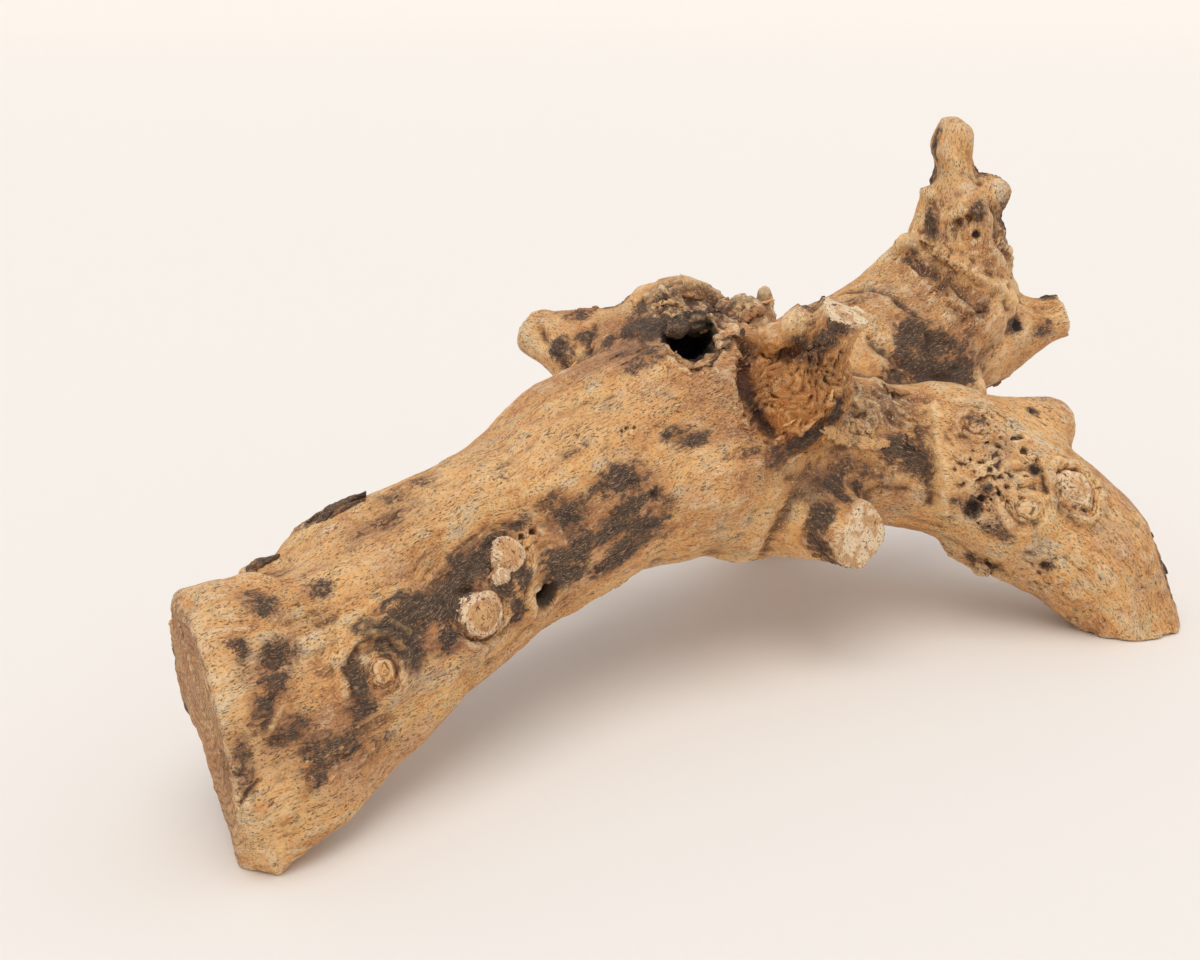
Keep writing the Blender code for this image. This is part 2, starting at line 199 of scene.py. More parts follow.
# ridges (height above 0) and grooves: points along the line, half width, height
seams = [
    # the leg's light ridge and the hollow beside it
    ([(101, -4, 100), (101, -5, 97), (99, -12, 86), (99, -17, 73), (100, -16, 59)], 2.8, 2.6),
    ([(93, -4, 98), (92, -9, 86), (93, -13, 75), (94, -13, 62)], 2.4, -1.8),
    # the diagonal ridge on the thick mass, the furrow under it, and its folds
    ([(140, 68, 158), (150, 63, 153), (157, 44, 144), (164, 38, 139), (172, 35, 135), (180, 36, 130)], 4.2, 4.4),
    ([(132, 66, 154), (140, 59, 152), (147, 44, 140), (154, 36, 134), (159, 31, 129)], 3.4, -4.0),
    ([(106, 62, 138), (116, 50, 138), (124, 42, 130), (128, 34, 122), (126, 28, 112)], 2.4, -1.6),
    ([(94, 30, 122), (104, 28, 112), (118, 27, 104), (134, 26, 102)], 3.0, -1.8),
    ([(172, 58, 178), (178, 48, 166), (176, 42, 154), (182, 38, 144)], 2.4, -1.8),
    # the valley to the burl's left and the crevices round the burl
    ([(18, 16, 135), (14, 10, 131), (9, 3, 119), (11, -2, 112), (15, -8, 104)], 3.4, -1.7),
    ([(47, -13, 125), (50, -14, 116), (43, -15, 110), (40, -15, 106), (32, -18, 106), (26, -16, 100)], 2.4, -2.8),
    ([(29, -14, 137), (26, -4, 133), (22, 6, 131)], 2.2, -1.2),
    # growth lines below the sawn knot and above the dark band
    ([(-121, -30, 47), (-115, -30, 54), (-104, -24, 56), (-100, -22, 67)], 1.1, -1.2),
    ([(-122, -33, 44), (-112, -30, 50), (-101, -24, 53), (-97, -20, 64)], 1.0, 0.7),
    ([(-131, -19, 81), (-118, -15, 86), (-108, -13, 88), (-98, -12, 86)], 1.0, -1.0),
    ([(-156, -43, 64), (-146, -38, 63), (-138, -34, 66), (-131, -31, 74), (-124, -22, 77), (-119, -20, 80)],
     1.1, -1.0),
    ([(-164, -42, 73), (-152, -38, 75), (-141, -33, 75), (-133, -27, 79)], 1.0, 0.7),
    # the trunk's end: a crack, and the edge of the worn flat
    ([(-219, -65, 38), (-224, -67, 36), (-227, -68, 33)], 0.9, -1.8),
    ([(-208, -57, 58), (-214, -62, 50), (-222, -66, 44)], 1.4, 0.9),
    ([(-229, -38, 60), (-229, -30, 74), (-229, -24, 84)], 0.8, -1.6), ([(-229, -39, 58), (-229, -54, 50)], 0.8, -1.4),
    ([(-229, -37, 58), (-229, -24, 50), (-229, -14, 46)], 0.7, -1.2), ([(-229, -38, 57), (-229, -40, 36)], 0.7, -1.3),
    # arcs round the healed knot: a dark crescent on its left, thin ridges above, a crack inside
    ([(-176, -44, 65), (-182, -50, 61), (-182, -54, 54), (-176, -54, 48)], 1.7, -1.3),
    ([(-178, -44, 68), (-170, -42, 70), (-161, -41, 66), (-157, -44, 59)], 0.9, 1.1),
    ([(-173, -41, 72), (-163, -37, 72), (-154, -38, 65)], 0.9, 0.9),
    ([(-171, -43, 67), (-165, -42, 66), (-160, -44, 60)], 0.8, -0.9),
    ([(-174, -45, 62), (-178, -48, 58), (-176, -51, 53)], 0.9, 0.9),
    ([(-171, -45, 63), (-173, -48, 58), (-172, -50, 53), (-167, -50, 50)], 0.7, -1.0),
    ([(-162, -45, 57), (-164, -48, 51), (-171, -50, 49)], 0.8, -0.7),
    # the leg's ringed knot
    ([(130, -31, 76), (124, -30, 76), (119, -32, 69), (119, -34, 62), (123, -37, 55), (130, -40, 55)], 1.3, -1.2),
    ([(128, -29, 79), (121, -28, 79), (116, -30, 70), (116, -32, 61), (120, -35, 53)], 1.3, 1.2),
    ([(131, -32, 75), (135, -36, 73), (136, -39, 66), (133, -41, 58), (129, -40, 54)], 1.3, -1.1),
    ([(134, -32, 77), (139, -37, 73), (140, -40, 65)], 1.3, 1.2),
    ([(124, -33, 69), (128, -35, 70), (131, -37, 69)], 1.1, -1.3),
    ([(145, -37, 75), (138, -42, 69), (139, -44, 60), (146, -46, 55)], 1.6, -1.6),
    # folds at the upper left stub, the crown and the leg
    ([(-32, 100, 130), (-30, 84, 122), (-34, 66, 118)], 2.2, -1.6), ([(-20, 70, 136), (-28, 60, 126)], 2.0, -1.2),
    ([(-26, 92, 132), (-27, 80, 128), (-30, 70, 122)], 2.0, 1.2),
    ([(-22, 52, 134), (-18, 40, 136), (-20, 28, 134)], 1.6, -1.0), ([(-60, 20, 114), (-40, 30, 126)], 1.4, -0.5),
    ([(-6, 57, 147), (-3, 46, 148), (6, 44, 147)], 1.6, -1.4),
    ([(60, -6, 66), (72, -7, 70), (86, -8, 68)], 2.0, -1.0), ([(70, -4, 74), (84, -10, 74)], 1.6, 0.8),
    ([(118, -24, 96), (128, -26, 88), (138, -30, 84), (146, -34, 80)], 1.8, 1.2),
    ([(106, -16, 90), (116, -22, 88), (124, -28, 84)], 1.3, -1.2),
    ([(110, -32, 50), (124, -38, 50), (140, -42, 52), (156, -42, 46)], 1.6, 0.9),
    ([(112, -28, 40), (128, -36, 40), (144, -40, 42)], 1.4, -0.8),
]

# knobs and lumps that swell out of the wood: centre, radii
lumps = [
    # in the cavity and on the burl's horn
    ((0, 27, 142), (9.0, 5.0, 4.6)), ((-8, 25, 141), (5.0, 5.5, 4.0)), ((9, 28, 142), (6.0, 6.0, 5.0)),
    ((7, 34, 138), (6.0, 5.0, 5.0)), ((14, 20, 138), (4.5, 6.0, 4.0)),
    ((33, -2, 142), (10.0, 8.0, 9.0)), ((26, 5, 136), (8.0, 8.0, 8.0)), ((42, -9, 146), (9.0, 8.0, 8.0)),
    # knobs on the crust, the tower and the leg
    ((46, 42, 144), (3.8, 3.8, 6.0)), ((182, 54, 160), (4.5, 4.0, 5.0)), ((180, 44, 149), (4.0, 4.0, 5.5)),
    ((123, -17, 29), (5.0, 4.0, 4.5)), ((83, 14, 108), (6.0, 4.0, 3.5)), ((154, 66, 174), (2.4, 2.4, 5.0)),
    # low bumps on the trunk's upper edge
    ((-160, 5, 96), (9.0, 4.0, 2.8)), ((-196, -8, 85), (8.0, 5.0, 3.6)), ((-190, -8, 85), (6.0, 6.0, 3.4)),
]


def sampleLine(rows, start):
    # A limb's centre line in even steps, evened out, with the directions along and across it
    rows = np.array(rows, float)
    steps = np.linalg.norm(np.diff(rows[:, :3], axis=0), axis=1)
    at = np.concatenate([[0], np.cumsum(steps)])
    run = np.arange(0, at[-1], 2.0)
    line = np.stack([np.interp(run, at, rows[:, k]) for k in range(4)], axis=1)
    padded = np.pad(line, ((8, 8), (0, 0)), mode="reflect", reflect_type="odd")
    line = np.stack([np.convolve(padded[:, k], np.ones(17) / 17, mode="valid") for k in range(4)], axis=1)
    tangent = np.gradient(line[:, :3], axis=0)
    tangent /= np.linalg.norm(tangent, axis=1)[:, None]
    side = np.zeros_like(tangent)
    last = np.array((0.0, 0.0, 1.0))
    for i, along in enumerate(tangent):
        last = last - (last @ along) * along
        last /= np.linalg.norm(last)
        side[i] = last
    return line, tangent, side, np.cross(tangent, side), run + start


def fibreFrame(points, lines):
    # For each point: its place in a limb's own frame, how near it is in limb radii, and that frame's axes
    sampled = [sampleLine(rows, 500.0 * i) for i, rows in enumerate(lines)]
    line, tangent, side, other, run = (np.concatenate(group) for group in zip(*sampled))
    nearest = np.empty(len(points), int)
    reach = np.empty(len(points))
    for at in range(0, len(points), 20000):
        block = points[at:at + 20000]
        squared = (block ** 2).sum(1)[:, None] + (line[:, :3] ** 2).sum(1) - 2 * block @ line[:, :3].T
        ratio = np.sqrt(np.maximum(squared, 0)) / line[:, 3]
        nearest[at:at + 20000] = ratio.argmin(axis=1)
        reach[at:at + 20000] = ratio.min(axis=1)
    away = points - line[nearest, :3]
    axes = [side[nearest], other[nearest], tangent[nearest]]
    place = np.stack([(away * axis).sum(axis=1) for axis in axes], axis=1)
    place[:, 2] += run[nearest]
    return place, reach, axes


def fieldOf(points, spheres, soft=0.35):
    # 1 inside any of the balls, easing to 0 over the soft share of their radius
    found = np.zeros(len(points))
    for place, radius in spheres:
        away = np.linalg.norm(points - place, axis=1) / radius
        found = np.maximum(found, 1 - easeBetween(1 - soft, 1 + soft, away))
    return found


def readWood(points, normals):
    # Everything that relief and colour both need at these points
    wood = {"points": points, "normals": normals}
    reaches, directions = [], []
    for name, lines in fibreLines.items():
        place, reach, axes = fibreFrame(points, lines)
        for knotPlace, radius, *_ in knots.values():
            around = points - knotPlace
            close = np.linalg.norm(around, axis=1) < 5 * radius
            if not close.any():
                continue
            centre = np.argmin(np.linalg.norm(around, axis=1))
            outward, along = normals[centre], axes[2][centre]
            across = np.cross(outward, along)
            run, cross = around[close] @ along, around[close] @ across
            square = run ** 2 + cross ** 2
            push = -cross * radius ** 2 / np.maximum(square, radius ** 2) * np.exp(-square / (3.2 * radius) ** 2)
            place[close, 0] += push * (axes[0][close] @ across)
            place[close, 1] += push * (axes[1][close] @ across)
        reaches.append(reach)
        directions.append(axes[2])
        wood[name + "Fibres"] = place
    share = np.exp(-6 * np.stack(reaches))
    share /= share.sum(axis=0)
    wood["share"] = share
    along = sum(part[:, None] * direction for part, direction in zip(share, directions))
    wood["along"] = along / np.linalg.norm(along, axis=1)[:, None]
    wood["burl"] = fieldOf(points, burlWood)
    wood["crust"] = fieldOf(points, crustWood)
    wood["wormy"] = fieldOf(points, wormyWood)
    wood["gnarled"] = fieldOf(points, gnarledWood)
    ragged = 1.2 * lumpNoise(points / 4, 5) + 0.6 * lumpNoise(points / 1.8, 6)
    wood["sawn"] = np.zeros(len(points))
    wood["rings"] = np.zeros(len(points))
    for place, outward, radius in sawnFaces.values():
        outward = np.array(outward) / np.linalg.norm(outward)
        away = points - place
        height = away @ outward
        spread = np.linalg.norm(away - height[:, None] * outward, axis=1)
        flat = (np.abs(height) < 1.2) & (normals @ outward > 0.8) & (spread < radius + 4)
        wood["sawn"][flat] = 1 - easeBetween(radius - 1, radius + 1, spread[flat] + ragged[flat])
        wood["rings"][flat] = spread[flat]
    # fibres swirl in burl and crust, and wander a little elsewhere
    swirl = 1.3 + 4.5 * wood["burl"] + 4.0 * wood["crust"] + 1.8 * wood["wormy"]
    wander = np.stack([lumpNoise(points / 15, seed) + 0.5 * lumpNoise(points / 6, seed + 9) for seed in (1, 2, 3)], 1)
    for name in fibreLines:
        wood[name + "Fibres"] = wood[name + "Fibres"] + wander * swirl[:, None] * (1, 1, 0.6)
    return wood


def fibreNoise(wood, width, length, seed):
    # Streaks along the fibres, the three directions mixed by each one's share
    scale = np.array((1 / width, 1 / width, 1 / length))
    total = np.zeros(len(wood["points"]))
    for part, name in zip(wood["share"], fibreLines):
        some = part > 0.02
        total[some] += part[some] * lumpNoise(wood[name + "Fibres"][some] * scale, seed)
    return total


# Marks on the wood: place, half length along the fibres, half width, strength
barkResidueAndShade = [
    # the trunk's sawn end
    ((-206, -37, 85), 7, 6, 0.75), ((-219, -53, 79), 4, 4, 0.6), ((-205, -50, 72), 8, 5, 0.8),
    ((-210, -56, 67), 6, 6, 0.9), ((-214, -60, 59), 5, 7, 1.0), ((-205, -57, 49), 8, 4, 0.9),
    ((-198, -59, 38), 5, 7, 0.9), ((-199, -61, 32), 5, 4, 0.8), ((-186, -56, 38), 11, 8, 0.6),
    ((-184, -30, 83), 6, 3, 0.75), ((-224, -65, 44), 4, 8, 0.8), ((-176, -54, 33), 12, 5, 0.45),
    # the band that runs through the knots
    ((-179, -50, 57), 5, 8, 1.0), ((-179, -55, 49), 7, 5, 0.9), ((-168, -40, 70), 9, 5, 0.9),
    ((-160, -38, 68), 11, 8, 1.15), ((-150, -34, 69), 12, 8, 1.25), ((-156, -43, 61), 9, 6, 1.2),
    ((-139, -31, 69), 12, 7, 1.25), ((-132, -28, 73), 12, 7, 1.25), ((-122, -22, 78), 12, 6, 1.2),
    ((-113, -17, 83), 9, 4, 1.1), ((-102, -13, 86), 8, 3, 0.9), ((-112, -27, 70), 6, 6, 1.05),
    ((-104, -23, 70), 5, 6, 1.0), ((-106, -26, 58), 4, 6, 0.8), ((-140, -40, 60), 8, 5, 0.9),
    # loose patches beyond it
    ((-78, -12, 86), 9, 6, 1.0), ((-84, -10, 92), 6, 4, 0.8), ((-57, -11, 96), 12, 5, 1.0),
    ((-48, -12, 95), 9, 3, 0.85), ((-42, -14, 89), 4, 3, 1.0), ((-52, -13, 86), 10, 4, 0.85),
    ((-64, -15, 77), 11, 5, 1.0), ((-76, -16, 74), 9, 6, 1.0), ((-54, -14, 69), 11, 6, 1.1),
    ((-46, -13, 76), 9, 7, 1.0), ((-61, -14, 64), 10, 5, 0.9), ((-86, -18, 71), 8, 6, 0.95),
    ((-80, -17, 65), 9, 5, 0.95), ((-90, -20, 66), 5, 4, 0.9), ((-38, -13, 82), 5, 6, 0.6),
    ((-148, -7, 94), 9, 3, 0.6), ((-158, -9, 93), 7, 2.5, 0.55), ((-27, -5, 109), 8, 3, 0.55),
    ((-21, -8, 105), 8, 3, 0.7), ((-135, 4, 100), 16, 4, 0.5), ((-70, -2, 106), 8, 2.5, 0.4),
    # the junction, the upper left stub and the crown
    ((-19, 83, 136), 8, 5, 0.7), ((-32, 76, 124), 9, 6, 0.95), ((-30, 70, 116), 8, 5, 0.8),
    ((-23, 52, 132), 6, 4, 0.7), ((-28, 31, 132), 8, 6, 0.6), ((-13, 42, 139), 6, 6, 1.0),
    ((-11, 36, 139), 7, 7, 1.1), ((-31, 19, 131), 7, 5, 0.6), ((-22, 22, 134), 6, 8, 0.7),
    ((0, 45, 147), 6, 4, 1.0), ((12, 45, 147), 6, 4, 0.9), ((14, 10, 131), 4, 8, 0.5),
    ((-7, 25, 141), 7, 7, 1.2), ((1, 27, 143), 7, 6, 0.95), ((9, 29, 143), 6, 6, 0.9),
    ((10, 3, 119), 3, 9, 0.45), ((11, -2, 112), 3, 7, 0.5), ((40, 44, 140), 6, 3, 0.7),
    # the horn, the burl's foot and the front stub
    ((30, -11, 135), 5, 7, 0.8), ((35, -16, 140), 5, 5, 1.05), ((38, -20, 145), 4, 6, 1.15),
    ((32, -6, 138), 2.5, 2.5, 1.2), ((16, -10, 94), 6, 6, 1.0), ((26, -14, 98), 9, 5, 0.95),
    ((-1, -12, 98), 9, 2, 0.6), ((34, -17, 104), 8, 3, 0.9), ((35, -17, 67), 5, 8, 1.05),
    ((34, -20, 58), 8, 6, 1.2), ((38, -24, 52), 8, 5, 1.05), ((45, -10, 76), 7, 4, 1.0),
    ((59, -8, 73), 6, 4, 0.8), ((50, -10, 78), 7, 3, 0.9), ((44, -18, 76), 6, 4, 0.85),
    ((80, -6, 86), 8, 6, 1.15), ((88, -9, 81), 7, 7, 1.15), ((92, -11, 76), 4, 5, 1.0),
    ((54, -7, 84), 10, 6, 0.6), ((70, -8, 78), 12, 4, 0.5),
    # the leg
    ((109, -24, 61), 4, 5, 0.95), ((113, -26, 68), 3, 4, 0.8), ((104, -20, 64), 5, 3, 0.6),
    ((112, -17, 97), 6, 3, 0.6), ((134, -33, 76), 3, 3, 0.95), ((137, -40, 34), 4, 4, 0.75),
    ((124, -18, 31), 8, 5, 0.9), ((118, -31, 50), 8, 4, 0.5), ((152, -10, 93), 3, 2, 0.7),
    # the thick mass behind and its tower; the dark marks under its belly and in the furrow below its ridge are bark
    # residue and painted shade
    ((119, 33, 122), 9, 8, 1.25), ((112, 28, 114), 7, 7, 1.1), ((130, 27, 107), 14, 7, 0.9),
    ((104, 26, 104), 16, 6, 1.0), ((140, 30, 112), 12, 7, 0.7), ((147, 44, 140), 8, 3, 0.9),
    ((140, 59, 152), 8, 3, 0.8), ((159, 31, 130), 5, 5, 1.0), ((179, 35, 120), 7, 5, 0.9),
    ((157, 51, 164), 3, 4, 0.9), ((164, 45, 172), 6, 5, 0.9), ((152, 62, 163), 10, 3, 0.8),
    ((122, 27, 104), 16, 9, 1.3), ((140, 27, 104), 12, 8, 1.2), ((100, 26, 105), 10, 7, 1.2),
    ((128, 31, 116), 11, 9, 1.15), ((42, -15, 110), 6, 5, 1.1), ((62, 14, 112), 8, 6, 1.0),
    ((-16, 46, 138), 7, 6, 1.0),
    ((-25, 66, 130), 8, 5, 0.85), ((-8, 52, 146), 6, 4, 0.9), ((20, 40, 142), 6, 5, 0.8), ((16, 26, 137), 6, 5, 0.8),
    ((160, 72, 199), 9, 3, 0.7), ((210, 43, 127), 7, 3, 0.9), ((197, 33, 116), 6, 4, 0.8),
    ((212, 36, 112), 6, 3, 0.8), ((100, 48, 134), 14, 4, 0.6), ((84, 40, 130), 10, 5, 0.5),
]
# reddish brown stains; the same mask also browns the trunk's end face as painted shade
redStainAndShade = [
    ((0, 2, 121), 16, 10, 0.9), ((4, -6, 107), 16, 10, 1.0), ((7, -13, 90), 14, 9, 0.7), ((-6, -12, 72), 18, 8, 0.5),
    ((-148, -7, 94), 20, 6, 0.8), ((-158, -44, 50), 12, 6, 0.8), ((-186, -56, 38), 18, 12, 0.7),
    ((-212, -55, 66), 12, 12, 0.6), ((30, -14, 84), 16, 9, 0.6), ((-60, -12, 92), 20, 8, 0.4),
    ((-26, 50, 134), 12, 8, 0.6), ((84, -8, 66), 14, 10, 0.7), ((112, -24, 62), 16, 10, 0.5),
    ((118, 50, 136), 14, 9, 0.6), ((170, 40, 150), 12, 10, 0.5), ((60, 0, 96), 16, 8, 0.5),
    ((-24, 36, 132), 26, 16, 0.95), ((-20, 56, 136), 16, 12, 0.8), ((8, 0, 116), 18, 12, 1.0),
    ((-2, 14, 134), 12, 8, 0.7), ((20, 50, 146), 14, 12, 0.6), ((140, 50, 140), 22, 14, 0.7),
    ((150, 36, 120), 22, 14, 0.8),
    ((-196, -54, 46), 22, 14, 0.7), ((-150, -46, 52), 20, 10, 0.6), ((-70, -14, 80), 30, 14, 0.5),
    ((150, -30, 40), 18, 10, 0.4), ((-40, 10, 116), 18, 6, 0.4), ((124, 40, 132), 12, 10, 0.7),
]
# pale worn patches; those along the edge of the trunk's end, on the leg's ridge and on the thick mass's ridge are
# also painted highlight
paleWearAndHighlight = [
    ((-226, -45, 87), 5, 6, 0.9), ((-226, -54, 74), 5, 8, 1.0), ((-223, -60, 61), 4, 8, 1.0),
    ((-219, -63, 49), 4, 8, 1.0), ((-213, -66, 38), 4, 8, 1.0), ((-210, -67, 28), 5, 8, 0.9),
    ((-216, -62, 14), 10, 12, 1.0), ((-130, -4, 97), 34, 9, 0.8), ((-90, 2, 106), 34, 8, 0.8),
    ((-50, 4, 113), 26, 8, 0.6), ((-180, -14, 92), 20, 8, 0.6), ((-168, -24, 86), 22, 7, 0.7),
    ((-13, 75, 139), 8, 8, 0.9), ((-24, 90, 132), 8, 4, 0.8), ((-3, 38, 142), 5, 5, 0.9), ((-3, 47, 148), 6, 5, 0.8),
    ((-22, -12, 98), 16, 5, 0.6), ((101, -5, 97), 6, 6, 1.3), ((99, -12, 86), 7, 7, 1.4), ((99, -17, 73), 7, 7, 1.4),
    ((100, -16, 60), 7, 6, 1.2), ((157, -11, 91), 16, 10, 0.9), ((106, -20, 84), 8, 5, 0.8),
    ((124, -37, 60), 5, 5, 0.6), ((157, 44, 145), 7, 4, 1.0), ((172, 35, 135), 12, 5, 1.0),
    ((148, 56, 150), 8, 3, 0.9),
    ((163, 63, 194), 12, 4, 1.0), ((206, 33, 120), 7, 5, 0.9), ((130, 51, 139), 8, 6, 0.8),
    ((117, 29, 118), 5, 4, 0.3),
    ((-59, -7, 51), 20, 4, 0.7), ((-90, -18, 46), 18, 4, 0.7), ((-118, -28, 48), 14, 3.5, 0.8),
    ((24, -8, 124), 12, 9, 0.6), ((34, -8, 132), 9, 6, 0.7), ((33, -4, 149), 9, 8, 1.0), ((26, 4, 142), 8, 7, 0.8),
]


strewn = (   # which marks, how many, the random seed, length and width
    (barkResidueAndShade, 60, 31, 13, 6), (redStainAndShade, 26, 32, 20, 10), (paleWearAndHighlight, 26, 33, 22, 8),
)


def strewMarks(wood, marks, count, seed, length, width):
    # The sides that the photo doesn't show carry marks of the same kind, strewn at random
    draw = np.random.default_rng(seed)
    hidden = np.flatnonzero(wood["normals"] @ np.array((-0.5, -0.82, 0.2)) < -0.05)
    for at in draw.choice(hidden, count, replace=False):
        size = draw.uniform(0.6, 1.5)
        marks.append((tuple(wood["points"][at]), length * size * draw.uniform(0.7, 1.4), width * size,
                      draw.uniform(0.55, 1.15)))


def markField(wood, marks):
    found = np.zeros(len(wood["points"]))
    for place, length, width, strength in marks:
        away = wood["points"] - place
        near = np.flatnonzero((np.abs(away) < 1.4 * max(length, width)).all(axis=1))
        if len(near) == 0:
            continue
        run = (away[near] * wood["along"][near]).sum(axis=1)
        cross = np.sqrt(np.maximum((away[near] ** 2).sum(axis=1) - run ** 2, 0))
        reach = np.sqrt((run / length) ** 2 + (cross / width) ** 2)
        found[near] = np.maximum(found[near], strength * np.clip(1.4 - reach, 0, 1))
    return found


cavity = {"mouth": (-5, 19, 138), "end": (8, 44, 128), "radius": 10}
cavityLip = [((-10, 13, 133), 6.0, 5.5), ((-3, 12, 135), 5.0, 4.0)]    # bites out of its lower lip, as in wornPits
knotHole = {"mouth": (-90, -22, 58), "end": (-94, -8, 62), "radius": 5.5}
trunkEnd = {"pith": (-229, -38, 60), "before": -205, "stainAndShade": 0.6}    # the worn face where the trunk stops, browned all over as painted shade
cutKnots = {"sawn": 0.7, "torn": 0.8, "tornPatch": 0.9, "legSawn": 0.55}    # how fresh their faces look

relief = {   # widths, lengths, sizes and heights in mm
    "ridgeWidth": 5.0, "ridgeLength": 60.0, "ridgeHeight": 0.5,
    "strandWidth": 2.2, "strandLength": 20.0, "strandHeight": 0.26,
    "lumpSize": 9.0, "lumpHeight": 0.5,
    "burlWidth": 2.6, "burlLength": 16.0, "burlHeight": 1.5,
    "plateSize": 13.0, "plateHeight": 3.0, "plateStep": 1.3, "crackDepth": 1.5,
    "gnarlSize": 8.0, "gnarlHeight": 1.7,
    "wormDepth": 1.9, "residueHeight": 0.45, "ringGap": 2.4,
}


def stepped(values, step):
    # Broken into terraces, as flaking bark is
    level = np.floor(values / step)
    return step * (level + easeBetween(0.7, 1.0, values / step - level))


def straightGaps(points, a, b, low=0):
    # Distance to the straight line between two places, which may reach back past the first of them
    part = np.clip((points - a) @ (b - a) / ((b - a) @ (b - a)), low, 1)
    return np.linalg.norm(points - a - part[:, None] * (b - a), axis=1)


def lineGaps(points, line):
    # Distance to a line through the given points
    line = np.array(line, float)
    near = ((points > line.min(axis=0) - 9) & (points < line.max(axis=0) + 9)).all(axis=1)
    gap = np.full(len(points), 99.0)
    found = gap[near]
    for a, b in zip(line, line[1:]):
        found = np.minimum(found, straightGaps(points[near], a, b))
    gap[near] = found
    return gap


def knotReach(wood, place, radius):
    # Distance from a knot in its radii, drawn out along the fibres and uneven round it, and what faces its way
    points = wood["points"]
    away = points - place
    gap = np.linalg.norm(away, axis=1)
    facing = wood["normals"] @ wood["normals"][np.argmin(gap)] > 0
    run = (away * wood["along"]).sum(axis=1)
    gap = np.sqrt(np.maximum(gap ** 2 - 0.28 * run ** 2, 0))
    reach = np.full(len(points), 9.0)
    near = gap < 4 * radius
    uneven = 0.24 * lumpNoise(points[near] / (0.9 * radius), 25) + 0.1 * lumpNoise(points[near] / 2.5, 28)
    reach[near] = gap[near] / radius + uneven * np.minimum(1, gap[near] / radius)
    return reach, facing


